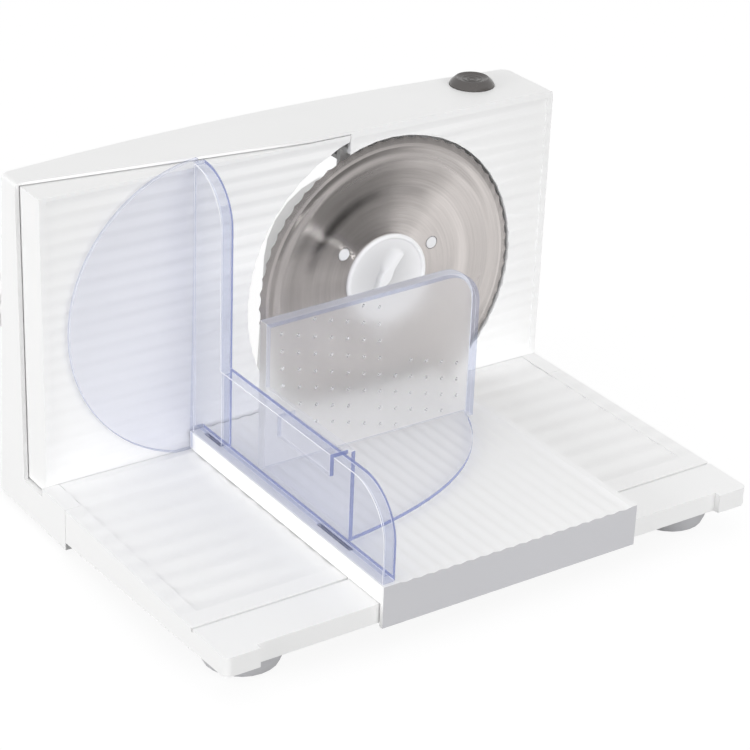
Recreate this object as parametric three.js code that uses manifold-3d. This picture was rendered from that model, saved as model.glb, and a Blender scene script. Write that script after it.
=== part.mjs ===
// Food slicer with a round serrated blade, a sliding food carriage and a movable stop plate.
// Millimetres. X runs along the carriage travel, Y runs to the back and Z is up.
// Inside the machine group the cutting plane is Y = 0 and the table's top is Z = 0.

import * as THREE from "three";
import { mergeVertices } from "three/addons/utils/BufferGeometryUtils.js";
import Module from "manifold-3d";

const wasm = await Module();
wasm.setup();

// Clearances and common walls
const seatGap = 0.1; // faces that rest on each other
const fitGap = 0.3; // a piece in its hole or recess
const slideGap = 0.6; // pieces that slide past each other
const wall = 2.5; // moulded walls of the white pieces
const clearWall = 2.5; // walls of the clear pieces

// Housing
const bodyWidth = 337;
const roofHeight = 170.8; // above the table's top
const baseDrop = 25; // the base's underside below the table's top
const ledgeDrop = 5; // the base's upper face below the table's top
const frontWall = 3;
const roofLip = 1.4; // thin roof over the stop plate
const backLeft = 40; // depth of the roof at its left end
const backRight = 46;
const backBulge = 65.4; // control point of the curved back
const backLean = 15.5; // the back is deeper by this at the base
const columnWidth = 38.5; // hollow column behind the stop plate's left end
const bridgeHeight = 20.8;
const seamDepth = 21.4; // the column starts this far behind the cutting plane
const roofSeamLeft = 21.2; // front edge of the roof at the left end
const roofSeamBend = 10.2;
const roofSeamReach = 88.5; // from the left end to the bend of the roof's front edge
const roofSeamEnd = 168; // from the left end to where the roof reaches the cutting plane
const roofEdge = 2.4; // rounding of the roof's rear and side edges
const bodyCorner = 4; // rounding of the two rear corners
const archRadius = 46; // drive box round the blade's axle
const earWidth = 10;
const earLength = 27;

// Ribs of the faces that food slides on
const faceRibPitch = 8.1;
const trayRibPitch = 8.25;
const tableRibPitch = 16;
const ribDepth = 0.8;
const tableRibDepth = 0.7;
const ribMargin = 4; // plain edge beside the ribs

// Blade and its drive
const bladeRadius = 86.4;
const bladeFromRight = 112.6; // axle to the right-hand side
const bladeHeight = 75; // axle above the table's top
const bladeFront = 0.8; // blade's front face behind the cutting plane
const bladeDish = 2.4;
const bladeThickness = 1;
const bevelWidth = 6;
const scallopCount = 60;
const scallopDepth = 1.1;
const pocketGap = 0.9; // round the blade's edge
const pocketDepth = 11;
const slotGap = 7.9; // slices pass between the blade and the stop plate
const pegCircle = 35.4;
const pegRadius = 3.6;
const pegStart = 25; // degrees
const carrierRadius = 42;
const carrierThickness = 6;
const carrierFloor = 1.6; // under the knob's stem
const hubRadius = 12;
const socketRadius = 19; // knob's hollow stem
const axleRadius = 5;
const bushWall = 2.7;
const bossWall = 2.7;
const bushLength = 13;
const knobRadius = 27.3;
const knobHeight = 2.6; // in front of the blade
const knobRim = 2.4;
const knobBowl = 5; // depth of the hollow
const gripWidth = 5.6;
const gripBend = 2;
const gripTilt = 53; // degrees

// Worm gear and motor
const gearModule = 2;
const gearTeeth = 30;
const gearWidth = 8;
const gearSetback = 29; // gear's front face behind the cutting plane
const wormRadius = 7; // pitch radius
const wormLength = 27;
const toothBacklash = 0.35;
const shaftRadius = 3;
const motorRadius = 18.5;
const motorLength = 54;
const motorOffset = 36.4; // from the blade's axle to the motor's face
const bracketThickness = 3.5;
const endCapThickness = 4;

// Stop plate and its dial
const plateThickness = 3;
const plateInset = 3.1; // plate's left face inside the housing's left face
const plateEnd = 29.3; // plate's upper right end, left of the blade's axle
const plateFoot = 4; // plate reaches this far below the table's top
const plateSide = 22.5; // depth of its left side wall
const plateFlange = 2.2;
const plateTravel = 15;
const dialTurn = 300; // degrees for the whole travel
const dialHeight = 84;
const dialRadius = 18;
const dialThickness = 15;
const dialFlutes = 14;
const dialShaft = 6.5;
const sleeveWall = 3.5;
const sleeveLength = 25.9;
const camPinRadius = 1.8;
const camPinBack = 4.5; // pin's centre in front of the sleeve's rear end
const rodRadius = 3;
const rodSpread = 0.305 * roofHeight; // each guide rod above or below the dial
const stiffenerPitch = 30;

// Table and feet
const tableLength = 194.5;
const tableThickness = 4;
const skirtRear = 22;
const skirtFront = 11;
const tableCorner = 4;
const frontRecess = 4; // the table's front between its corner blocks lies back by this
const cornerBlock = 20;
const tableGap = 0.5; // between the table's rear edge and the cutting plane
const grooveFromFront = 32.5;
const grooveWidth = 1.8;
const grooveDepth = 2.4;
const pinRadius = 3;
const pinBehind = 14; // hinge pin in front of the cutting plane
const pinDrop = 12;
const footDrop = 28; // counter below the table's top
const frontFootRadius = 22;
const rearFootRadius = 13;
const footSpread = 140;
const rearFootY = 32;

// Carriage
const trayWidth = 164.6;
const trayFromBlade = 49.5; // tray's centre, left of the blade's axle
const trayHeight = 11.1;
const trayTopWall = 3.2;
const traySkirt = 13.3; // below the table's top
const runnerWidth = 1;
const guardHeight = 173;
const guardDepth = 31; // tall part
const guardSetback = 2; // low part's front end behind the tray's front
const guardLow = 62;
const guardRound = 30;
const guardRim = 7.6; // width of the rim
const moonRadius = 89;
const moonHeight = 87;
const moonOffset = 13; // centre of the half-moon's arc, right of the guard's wall
const tabLengths = [17, 31];
const tabFronts = [25, 155];
const tabWidth = 2.3;
const tabDepth = 5;

// Pusher
const pusherWidth = 140.2;
const pusherHeight = 93;
const pusherBack = 59; // plate's rear face in front of the cutting plane
const pusherDip = 2.8; // the top edge is lower by this at its left end
const pusherRim = 6.5;
const pusherRound = 22;
const pusherReach = 88; // floor plate, to the front
const floorBendX = 0.73; // bend of the floor's curved edge, as shares of the width and the reach
const floorBendY = 0.66;
const saddleLength = 50.2;
const saddleFront = 145.4;
const saddleFlap = 10;
const studPitch = 10.66; // along X from one stud to the next
const studFall = 3.25; // each stud is lower by this than its left neighbour
const studRowPitch = 10.44;
const studRowShift = 0.52; // each row starts further right by this
const studFirstX = 12.5; // from the plate's left end
const studFirstZ = 89.7; // above the plate's lower edge
const studRows = [[5, 6], [2, 6], [0, 6], [0, 6], [0, 11], [0, 11], [1, 4], [2, 7]]; // first and last stud
const studRowEnds = [[3, 8, 11], [6, 6, 10]]; // rows that go on after a gap
const studRadius = 1.5;
const studHeight = 1.6;

// Button
const buttonRadius = 13.2;
const buttonFromRight = 36.5;
const buttonBack = 31;
const buttonRise = 4.7;
const buttonTravel = 3;
const buttonFlange = 2.3;
const springRadius = 9.5;
const springWire = 0.6; // radius
const springTurns = 5;
const shelfDrop = 20.8; // shelf's upper face below the roof's top

// Cord inlet
const inletFromRight = 28.5;

// Screws
const screwHead = 3.4;
const screwShank = 1.6;
const screwLength = 10;
const screwSink = 1.2;
const screwInset = 9.5; // cover screws from the drive box's edges
const screwReach = 42; // third cover screw, right of the blade's axle

// Places that follow from the sizes
const halfWidth = bodyWidth / 2;
const roofUnder = roofHeight - roofLip;
const bladeX = halfWidth - bladeFromRight;
const bladeZ = bladeHeight;
const pocketRadius = bladeRadius + pocketGap;
const pocketFloor = pocketDepth + wall;
const slotRadius = bladeRadius + slotGap;
const plateLeft = plateInset - halfWidth;
const plateRight = bladeX - plateEnd;
const plateTop = roofUnder - slideGap;
const columnRight = columnWidth - halfWidth;
const columnX = columnWidth / 2 - halfWidth;
const bridgeBottom = roofHeight - bridgeHeight;
const carrierFront = bladeFront + bladeDish + bladeThickness + fitGap;
const carrierBack = carrierFront + carrierThickness;
const carrierShoulder = carrierBack - carrierFloor;
const gearPitchRadius = (gearModule * gearTeeth) / 2;
const gearBack = gearSetback + gearWidth;
const wormY = gearSetback + gearWidth / 2;
const wormZ = bladeZ - gearPitchRadius - wormRadius;
const motorX = bladeX + motorOffset;
const trayLeft = bladeX - trayFromBlade - trayWidth / 2;
const trayRight = trayLeft + trayWidth;
const tableFront = -tableGap - tableLength;
const recessFront = tableFront + frontRecess;
const blockEdge = halfWidth - cornerBlock;
const trayFront = recessFront - slideGap - wall;
const trayRear = -slideGap;
const guardLeft = trayLeft + 0.5;
const guardRight = guardLeft + guardRim;
const guardBottom = trayHeight + fitGap;
const pusherLeft = guardRight + slideGap;
const pusherRight = pusherLeft + pusherWidth;
const pusherBottom = trayHeight + slideGap;
const pusherTop = pusherBottom + pusherHeight;
const grooveY = tableFront + grooveFromFront;
const buttonX = halfWidth - buttonFromRight;
const shelfTop = roofHeight - shelfDrop;
const leadPerTurn = (plateTravel * 360) / dialTurn;

// Facets
const roundSides = 24;
const smallSides = 12;
const screwSides = 8;
const bladeSteps = 3; // facets of one scallop
const waveSteps = 4; // facets of one rib
const backSteps = 8;
const wideSides = 48; // arcs about the blade's axle
const mergeDistance = 1e-4;
const far = 400; // longer than any piece
const ribSkin = 0.05;

const turn = 2 * Math.PI;
const radians = Math.PI / 180;

// Solids from three.js geometry

function signedVolume(vertices, triangles) {
  const [a, b, c] = [new THREE.Vector3(), new THREE.Vector3(), new THREE.Vector3()];
  let volume = 0;
  for (let i = 0; i < triangles.length; i += 3) {
    a.fromArray(vertices, 3 * triangles[i]);
    b.fromArray(vertices, 3 * triangles[i + 1]);
    c.fromArray(vertices, 3 * triangles[i + 2]);
    volume += a.dot(b.cross(c)) / 6;
  }
  return volume;
}

function toSolid(geometry) {
  geometry.deleteAttribute("normal");
  geometry.deleteAttribute("uv");
  const merged = mergeVertices(geometry, mergeDistance);
  const corners = merged.getIndex().array;
  const vertices = merged.getAttribute("position").array;
  const triangles = [];
  for (let i = 0; i < corners.length; i += 3) {
    const [a, b, c] = corners.subarray(i, i + 3);
    if (a !== b && b !== c && c !== a) {
      triangles.push(a, b, c);
    }
  }
  if (signedVolume(vertices, triangles) < 0) {
    triangles.reverse();
  }
  const vertProperties = new Float32Array(vertices);
  const triVerts = new Uint32Array(triangles);
  return new wasm.Manifold(new wasm.Mesh({ numProp: 3, vertProperties, triVerts }));
}

function toGeometry(body) {
  const { vertProperties, triVerts } = body.getMesh();
  const geometry = new THREE.BufferGeometry();
  geometry.setAttribute("position", new THREE.BufferAttribute(vertProperties, 3));
  geometry.setIndex(new THREE.BufferAttribute(triVerts, 1));
  geometry.computeVertexNormals();
  return geometry;
}

function join(first, ...others) {
  return others.reduce((body, other) => body.add(other), first);
}

function cut(body, ...tools) {
  return tools.reduce((rest, tool) => rest.subtract(tool), body);
}

function box(x0, x1, y0, y1, z0, z1) {
  const geometry = new THREE.BoxGeometry(x1 - x0, y1 - y0, z1 - z0);
  geometry.translate((x0 + x1) / 2, (y0 + y1) / 2, (z0 + z1) / 2);
  return toSolid(geometry);
}

function rodX(y, z, radius, x0, x1, sides = smallSides) {
  const geometry = new THREE.CylinderGeometry(radius, radius, x1 - x0, sides);
  geometry.rotateZ(-Math.PI / 2);
  geometry.translate((x0 + x1) / 2, y, z);
  return toSolid(geometry);
}

function rodY(x, z, radius, y0, y1, sides = smallSides) {
  const geometry = new THREE.CylinderGeometry(radius, radius, y1 - y0, sides);
  geometry.translate(x, (y0 + y1) / 2, z);
  return toSolid(geometry);
}

function rodZ(x, y, radius, z0, z1, sides = smallSides) {
  const geometry = new THREE.CylinderGeometry(radius, radius, z1 - z0, sides);
  geometry.rotateX(Math.PI / 2);
  geometry.translate(x, y, (z0 + z1) / 2);
  return toSolid(geometry);
}

function extruded(shape, depth, curveSegments) {
  return new THREE.ExtrudeGeometry(shape, { depth, steps: 1, bevelEnabled: false, curveSegments });
}

// A shape drawn in Y and Z, drawn out along X
function prismX(shape, x0, x1, curveSegments = smallSides) {
  const geometry = extruded(shape, x1 - x0, curveSegments);
  const axes = [new THREE.Vector3(0, 1, 0), new THREE.Vector3(0, 0, 1), new THREE.Vector3(1, 0, 0)];
  geometry.applyMatrix4(new THREE.Matrix4().makeBasis(...axes));
  geometry.translate(x0, 0, 0);
  return toSolid(geometry);
}

// A shape drawn in X and Z, drawn out along Y
function prismY(shape, y0, y1, curveSegments = smallSides) {
  const geometry = extruded(shape, y1 - y0, curveSegments);
  geometry.rotateX(Math.PI / 2);
  geometry.translate(0, y1, 0);
  return toSolid(geometry);
}

// A shape drawn in X and Y, drawn out along Z
function prismZ(shape, z0, z1, curveSegments = smallSides) {
  const geometry = extruded(shape, z1 - z0, curveSegments);
  geometry.translate(0, 0, z0);
  return toSolid(geometry);
}

function polygon(points) {
  return new THREE.Shape(points.map(([u, v]) => new THREE.Vector2(u, v)));
}

function lathe(profile, sides) {
  return new THREE.LatheGeometry(profile.map(([r, along]) => new THREE.Vector2(r, along)), sides);
}

// Turned pieces: each profile lists radius and place along the axis
function turnedX(profile, y, z, sides = roundSides) {
  const geometry = lathe(profile, sides);
  geometry.rotateZ(-Math.PI / 2);
  geometry.translate(0, y, z);
  return toSolid(geometry);
}

function turnedY(profile, x, z, sides = roundSides) {
  const geometry = lathe(profile, sides);
  geometry.translate(x, 0, z);
  return toSolid(geometry);
}

function turnedZ(profile, x, y, sides = roundSides) {
  const geometry = lathe(profile, sides);
  geometry.rotateX(Math.PI / 2);
  geometry.translate(x, y, 0);
  return toSolid(geometry);
}

// A closed profile of a hollow round piece
function tubeProfile(inner, outer, start, end) {
  return [[inner, start], [outer, start], [outer, end], [inner, end], [inner, start]];
}

// Triangles between two loops that start together, listed by their first vertex and length
function stitch(start, count, nextStart, nextCount) {
  const triangles = [];
  let [i, j] = [0, 0];
  while (i < count || j < nextCount) {
    const a = start + (i % count);
    const b = nextStart + (j % nextCount);
    if ((i + 1) * nextCount <= (j + 1) * count) {
      i += 1;
      triangles.push(a, start + (i % count), b);
    } else {
      j += 1;
      triangles.push(a, nextStart + (j % nextCount), b);
    }
  }
  return triangles;
}

function indexed(points, triangles) {
  const geometry = new THREE.BufferGeometry().setFromPoints(points);
  geometry.setIndex(triangles);
  return toSolid(geometry);
}

// A skin over loops of equal length; the flat loop shapes the two end faces
function skin(loops, flatLoop) {
  const count = flatLoop.length;
  const last = (loops.length - 1) * count;
  const triangles = [];
  for (let row = 0; row < last; row += count) {
    triangles.push(...stitch(row, count, row + count, count));
  }
  for (const [a, b, c] of THREE.ShapeUtils.triangulateShape(flatLoop, [])) {
    triangles.push(c, b, a, last + a, last + b, last + c);
  }
  return indexed(loops.flat(), triangles);
}

// Waves cut into a face: place(along, depth) puts a point of the wave into the drawing plane
function waveShape(start, end, pitch, depth, place) {
  const waves = Math.max(1, Math.round((end - start) / pitch));
  const steps = waves * waveSteps;
  const points = [place(start, -ribMargin)];
  for (let i = 0; i <= steps; i++) {
    const dip = 0.5 - 0.5 * Math.cos((turn * i) / waveSteps);
    points.push(place(start + ((end - start) * i) / steps, ribSkin + depth * dip));
  }
  points.push(place(end, -ribMargin));
  return polygon(points);
}

// Parts of the housing that other pieces share

// The curved and leaning back, as the distance behind the cutting plane
function backAt(x, z) {
  const share = (x + halfWidth) / bodyWidth;
  const rest = 1 - share;
  const top = rest * rest * backLeft + 2 * share * rest * backBulge + share * share * backRight;
  return top + (backLean * (roofHeight - z)) / (roofHeight + baseDrop);
}

// The body seen from above, with rounded rear corners; inset draws it smaller
function planOutline(lean, inset) {
  const reach = halfWidth - inset;
  const back = (x) => backAt(x, roofHeight) + lean - inset;
  const easing = bodyCorner * (1 - Math.SQRT1_2);
  const points = [[-reach, 0], [reach, 0]];
  points.push([reach, back(reach) - bodyCorner], [reach - easing, back(reach) - easing]);
  for (let i = 0; i <= backSteps; i++) {
    const x = (reach - bodyCorner) * (1 - (2 * i) / backSteps);
    points.push([x, back(x)]);
  }
  points.push([easing - reach, back(-reach) - easing], [-reach, back(-reach) - bodyCorner]);
  return points.map(([x, y]) => new THREE.Vector2(x, y));
}

// The whole outer block, moved forward by shift so that it can shape the inside of the back
function outerBlock(shift) {
  const easing = roofEdge * (1 - Math.SQRT1_2);
  const levels = [[-baseDrop, 0], [roofHeight - roofEdge, 0]];
  levels.push([roofHeight - easing, easing], [roofHeight, roofEdge]);
  const loops = levels.map(([z, inset]) => {
    const lean = (backLean * (roofHeight - z)) / (roofHeight + baseDrop);
    return planOutline(lean, inset).map((p) => new THREE.Vector3(p.x, p.y - shift, z));
  });
  return skin(loops, planOutline(backLean, 0));
}

// The drive box: everything right of the axle, with an arch round the gear
function driveBox(inset, y0, y1) {
  const left = bladeX - archRadius + inset;
  const bottom = inset - baseDrop;
  return join(
    box(bladeX + inset, halfWidth - inset, y0, y1, bottom, roofHeight - inset),
    rodY(bladeX, bladeZ, archRadius - inset, y0, y1, roundSides),
    box(left, bladeX + 2 * inset, y0, y1, bottom, bladeZ),
  );
}

const coverScrews = [
  [halfWidth - screwInset, roofHeight - screwInset],
  [halfWidth - screwInset, screwInset - baseDrop],
  [bladeX + screwReach, roofHeight - screwInset],
  [bladeX - archRadius + screwInset, screwInset - baseDrop],
];

const guideRods = [
  ["guide_rod_upper", dialHeight + rodSpread],
  ["guide_rod_lower", dialHeight - rodSpread],
];
const rodFlange = 2;
const rodSeat = backAt(columnX, dialHeight + rodSpread) - wall - 1.5;
const rodTip = plateThickness + 1.6 + plateTravel + fitGap;
const guideEnd = rodSeat - rodFlange - plateTravel - 0.5;
const padRadius = dialRadius - 3;
const dialSeat = backAt(columnX + padRadius, dialHeight - padRadius) + 1;
const shaftTip = plateThickness + plateTravel + 2.5;
const sleeveRadius = dialShaft + 0.5;
const bracketTop = wormZ + motorRadius - 1;
const bracketFoot = 11; // bracket's foot above the base's underside
const boardRight = motorX + 22;
const bracketScrewX = motorX + 14;
const bracketScrewYs = [wormY - 7, wormY + 7];
const motorScrewYs = [wormY - 11, wormY + 11];
const inletX = halfWidth - inletFromRight;
const inletZ = 0;
const inletRadius = 6.5;
const postLeft = bladeX - 26; // post that carries the shaft's free end
const postRight = postLeft + 4;

// Housing pieces

function housingShell() {
  const inner = outerBlock(wall);
  const openRight = plateRight + fitGap;
  const slices = cut(
    join(
      box(columnRight, openRight, -far, far, -ledgeDrop, bridgeBottom),
      box(columnRight, bladeX, frontWall, far, -ledgeDrop, bridgeBottom),
    ),
    driveBox(0, -far, far),
  );
  const plateSpace = cut(
    box(-far, openRight, -far, seamDepth, -ledgeDrop, roofUnder),
    driveBox(0, -far, far),
  );
  const columnHollow = box(wall - halfWidth, columnRight - wall, frontWall, far, -ledgeDrop, roofUnder);
  const bridgeHollow = box(wall - halfWidth, bladeX, frontWall, far, bridgeBottom + wall, roofUnder);
  const baseHollow = box(columnRight + 12, bladeX - archRadius - wall, frontWall, far, -far, -ledgeDrop - wall);
  const pocket = rodY(bladeX, bladeZ, pocketRadius, -far, pocketDepth, wideSides);
  const pocketRim = rodY(bladeX, bladeZ, pocketRadius + wall, 0, pocketFloor, wideSides);
  const floorDisc = rodY(bladeX, bladeZ, pocketRadius + wall, pocketDepth, pocketFloor, wideSides);
  const bushSeat = hubRadius + fitGap + bushWall + fitGap;
  const bossEnd = pocketDepth + bushLength;

  let shell = cut(outerBlock(0), slices, plateSpace, roofNose());
  shell = cut(shell, join(columnHollow, bridgeHollow, baseHollow).intersect(inner));
  shell = cut(shell, driveBox(wall, frontWall, far));
  shell = join(
    shell,
    pocketRim.intersect(box(openRight, far, -far, far, -baseDrop, far)),
    floorDisc.intersect(driveBox(0, 0, far)),
    rodY(bladeX, bladeZ, bushSeat + bossWall, pocketDepth, bossEnd, roundSides),
    ...innerPosts(),
    ...ears(),
  );
  shell = join(shell, ...backPads());
  shell = cut(shell, pocket, rodY(bladeX, bladeZ, bushSeat, 0, bossEnd + 1, roundSides));
  shell = cut(shell, ...housingHoles());
  const ribs = waveShape(4.8, roofHeight - ribMargin, faceRibPitch, ribDepth, (z, depth) => [depth, z]);
  return cut(shell, prismX(ribs, openRight + ribMargin / 2, halfWidth - ribMargin));
}

// Space in front of the roof's slanting front edge
function roofNose() {
  const nose = new THREE.Shape();
  const left = -halfWidth;
  nose.moveTo(left - 1, -1);
  nose.lineTo(left + roofSeamEnd, -1);
  nose.lineTo(left + roofSeamEnd, 0);
  nose.quadraticCurveTo(left + roofSeamReach, roofSeamBend, left, roofSeamLeft);
  nose.lineTo(left - 1, roofSeamLeft);
  return prismZ(nose, roofUnder - 1, roofHeight + 1);
}

// Screw posts, the button's shelf, the motor's seat and the shaft's post
function innerPosts() {
  const reach = outerBlock(wall + fitGap);
  const posts = coverScrews.map(([x, z]) => rodY(x, z, screwHead + 1.1, frontWall - 1, far).intersect(reach));
  const floor = wall - baseDrop - seatGap;
  const shelfHalf = buttonRadius + 2.8;
  const shelfBack = buttonBack + shelfHalf - 1;
  posts.push(
    box(buttonX - shelfHalf, buttonX + shelfHalf, frontWall - 1, shelfBack, shelfTop - wall, shelfTop),
    box(motorX - bracketThickness, boardRight, wormY - 11, wormY + 11, floor, bracketFoot - baseDrop),
    box(postLeft, postRight, wormY - 9, wormY + 9, floor, wormZ + 8),
  );
  return posts;
}

function ears() {
  return [-1, 1].flatMap((side) => {
    const [near, out] = [side * (halfWidth - earWidth), side * halfWidth].sort((a, b) => a - b);
    return [
      box(near, out, -earLength, -fitGap, -baseDrop, 0),
      box(near, out, -1, frontWall, -baseDrop, -ledgeDrop - fitGap),
    ];
  });
}

// Flat pads on the column's back: outside for the dial, inside for the guide rods
function backPads() {
  const block = outerBlock(1);
  const rodPads = guideRods.map(([, z]) => rodY(columnX, z, 8, rodSeat, far).intersect(block));
  const dialPad = rodY(columnX, dialHeight, padRadius, dialSeat - 9, dialSeat, roundSides);
  return [...rodPads, cut(dialPad, outerBlock(wall))];
}

function housingHoles() {
  const hole = dialShaft + fitGap;
  const inside = frontWall + 1;
  const holes = coverScrews.map(([x, z]) => {
    const tip = backAt(x, z) - screwSink - screwLength - 1;
    return rodY(x, z, screwShank + fitGap, tip, far);
  });
  const pinHoles = [-1, 1].map((side) => {
    const [a, b] = [side * (halfWidth - earWidth - 1), side * (halfWidth - wall)].sort((p, q) => p - q);
    return rodX(-pinBehind, -pinDrop, pinRadius + fitGap, a, b);
  });
  const screwHoles = bracketScrewYs.map((y) => {
    return rodZ(bracketScrewX, y, screwShank + fitGap, wall - baseDrop, bracketFoot - baseDrop + 1);
  });
  holes.push(
    ...pinHoles,
    ...screwHoles,
    rodY(columnX, dialHeight, hole, seamDepth + inside, far, roundSides),
    rodX(wormY, wormZ, shaftRadius + fitGap, postLeft - 1, postRight + 1),
    rodZ(buttonX, buttonBack, buttonRadius + fitGap, roofHeight - 2 * wall, roofHeight + 1, roundSides),
  );
  return holes;
}

function rearCover() {
  const bossFront = gearBack + 0.5;
  const axleEnd = axleRear();
  const panel = cut(driveBox(wall + fitGap, 0, far).intersect(outerBlock(0)), outerBlock(wall));
  const boss = rodY(bladeX, bladeZ, axleRadius + 4, bossFront, far, roundSides).intersect(outerBlock(wall / 2));
  const holes = coverScrews.flatMap(([x, z]) => {
    const seat = backAt(x, z) - screwSink;
    return [rodY(x, z, screwHead + fitGap, seat, far), rodY(x, z, screwShank + fitGap, 0, far)];
  });
  return cut(
    join(panel, boss),
    rodY(bladeX, bladeZ, axleRadius + fitGap, 0, axleEnd + fitGap),
    rodY(inletX, inletZ, inletRadius + fitGap, 0, far),
    ...holes,
  );
}

function coverScrew(x, z) {
  const seat = backAt(x, z) - screwSink + seatGap;
  const tip = seat - screwLength;
  const profile = [[0, tip], [screwShank, tip + 1], [screwShank, seat], [screwHead, seat]];
  profile.push([screwHead, seat + 1], [screwHead - 1, seat + 1.8], [0, seat + 1.8]);
  return turnedY(profile, x, z, screwSides);
}

function cordInlet() {
  const face = backAt(inletX - inletRadius, inletZ - inletRadius - 2) + seatGap;
  const bore = inletRadius - 3;
  const rim = inletRadius + 2;
  const back = face - 6;
  const profile = [[bore, back], [inletRadius, back], [inletRadius, face], [rim, face]];
  profile.push([rim, face + 2], [bore, face + 2], [bore, back]);
  return turnedY(profile, inletX, inletZ);
}

// Table, hinge pins and feet

function tableOutline(inset) {
  const side = halfWidth - inset;
  const front = tableFront + inset;
  const rear = -tableGap - inset;
  const notchSide = halfWidth - earWidth - fitGap - inset;
  const notchFront = -earLength - fitGap - inset;
  const round = Math.max(tableCorner - inset, 0.5);
  const outline = new THREE.Shape();
  outline.moveTo(-side + round, front);
  outline.lineTo(-blockEdge - inset, front);
  outline.lineTo(-blockEdge - inset, front + frontRecess);
  outline.lineTo(blockEdge + inset, front + frontRecess);
  outline.lineTo(blockEdge + inset, front);
  outline.lineTo(side - round, front);
  outline.absarc(side - round, front + round, round, -Math.PI / 2, 0);
  outline.lineTo(side, notchFront);
  outline.lineTo(notchSide, notchFront);
  outline.lineTo(notchSide, rear);
  outline.lineTo(-notchSide, rear);
  outline.lineTo(-notchSide, notchFront);
  outline.lineTo(-side, notchFront);
  outline.lineTo(-side, front + round);
  outline.absarc(-side + round, front + round, round, Math.PI, 1.5 * Math.PI);
  return outline;
}

function table() {
  const profile = polygon([[1, 0], [1, -skirtRear], [tableFront, -skirtFront], [tableFront, 0]]);
  const block = prismZ(tableOutline(0), -far, 0, 5).intersect(prismX(profile, -far, far));
  const hollow = prismZ(tableOutline(wall), -far, -tableThickness, 5);
  const stiffeners = [-0.5, 0, 0.5].map((share) => {
    const x = share * halfWidth;
    return box(x - 1, x + 1, recessFront + 1, -tableGap - 1, -skirtFront + 2, -tableThickness + 1);
  });
  const ribs = waveShape(-5.8, grooveY + 12.7, -tableRibPitch, tableRibDepth, (y, depth) => [y, -depth]);
  const ribEnd = halfWidth - earWidth;
  const groove = box(-far, far, grooveY - grooveWidth / 2, grooveY + grooveWidth / 2, -grooveDepth, 1);
  const pinHole = rodX(-pinBehind, -pinDrop, pinRadius + fitGap, -far, far);
  const middle = box(-halfWidth / 2 - 8, halfWidth / 2 + 8, -far, far, -far, far);
  return cut(
    join(cut(block, hollow), ...stiffeners),
    prismX(ribs, -ribEnd, ribEnd),
    groove,
    cut(pinHole, middle),
  );
}

function hingePin(side) {
  const ends = [side * (halfWidth - wall - fitGap), side * (halfWidth - earWidth - 10)];
  const [a, b] = ends.sort((p, q) => p - q);
  return rodX(-pinBehind, -pinDrop, pinRadius, a, b);
}

function frontFoot(side) {
  const [radius, top] = [frontFootRadius, -skirtFront];
  const stem = radius / 2;
  const stemTop = -tableThickness - seatGap;
  const profile = [[0, -footDrop], [radius - 8, -footDrop], [radius - 2, 3 - footDrop], [radius, 8 - footDrop]];
  profile.push([radius, top], [stem, top + 1], [stem, stemTop], [0, stemTop]);
  return turnedZ(profile, side * footSpread, grooveY);
}

function rearFoot(side) {
  const top = -baseDrop - seatGap;
  const profile = [[0, -footDrop], [rearFootRadius - 1.5, -footDrop], [rearFootRadius, 1 - footDrop]];
  profile.push([rearFootRadius, top], [0, top]);
  return turnedZ(profile, side * footSpread, rearFootY);
}

// Blade, its knob and its carrier

// A dished ring with a scalloped edge.
// Each row gives radius, place, share of the scallop and facets per scallop.
function blade() {
  const back = bladeFront + bladeThickness;
  const deep = bladeFront + bladeDish;
  const bore = socketRadius + 0.5;
  const dishRadius = carrierRadius + 2;
  const rows = [[bore, deep, 0, 0.5], [dishRadius, deep, 0, 1], [bladeRadius - bevelWidth, bladeFront, 0, 1]];
  rows.push([bladeRadius, back, 1, bladeSteps], [dishRadius, deep + bladeThickness, 0, 1]);
  rows.push([bore, deep + bladeThickness, 0, 0.5]);
  const points = [];
  const loops = rows.map(([radius, along, share, facets]) => {
    const start = points.length;
    const count = Math.round(scallopCount * facets);
    for (let i = 0; i < count; i++) {
      const scallop = 2 * scallopDepth * (1 - Math.abs(Math.cos((Math.PI * i) / bladeSteps)));
      const reach = radius - share * scallop;
      const angle = (turn * i) / count;
      points.push(new THREE.Vector3(bladeX + reach * Math.cos(angle), along, bladeZ + reach * Math.sin(angle)));
    }
    return [start, count];
  });
  const triangles = loops.flatMap((loop, i) => stitch(...loop, ...loops[(i + 1) % loops.length]));
  const holes = pegPlaces().map(([x, z]) => rodY(x, z, pegRadius + 0.5, -1, pocketDepth));
  return cut(indexed(points, triangles), ...holes);
}

function pegPlaces() {
  return [0, 1, 2].map((i) => {
    const angle = pegStart * radians + (turn * i) / 3;
    return [bladeX + pegCircle * Math.cos(angle), bladeZ + pegCircle * Math.sin(angle)];
  });
}

function bladeCarrier() {
  const socket = socketRadius + 0.4;
  const bore = axleRadius + fitGap;
  const end = gearSetback - seatGap;
  const profile = [[bore, carrierShoulder], [bore, end], [hubRadius, end], [hubRadius, carrierBack]];
  profile.push([carrierRadius, carrierBack], [carrierRadius, carrierFront]);
  profile.push([socket, carrierFront], [socket, carrierShoulder], [bore, carrierShoulder]);
  const pegFace = bladeFront + bladeDish - seatGap;
  const pegs = pegPlaces().map(([x, z]) => rodY(x, z, pegRadius, pegFace, carrierFront + 1));
  return join(turnedY(profile, bladeX, bladeZ), ...pegs);
}

function axleRear() {
  return gearBack + 15;
}

function spindleAxle() {
  return rodY(bladeX, bladeZ, axleRadius, carrierShoulder + fitGap, axleRear());
}

function spindleBush() {
  const inner = hubRadius + fitGap;
  const profile = tubeProfile(inner, inner + bushWall, pocketDepth + seatGap, pocketDepth + bushLength);
  return turnedY(profile, bladeX, bladeZ);
}

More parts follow.
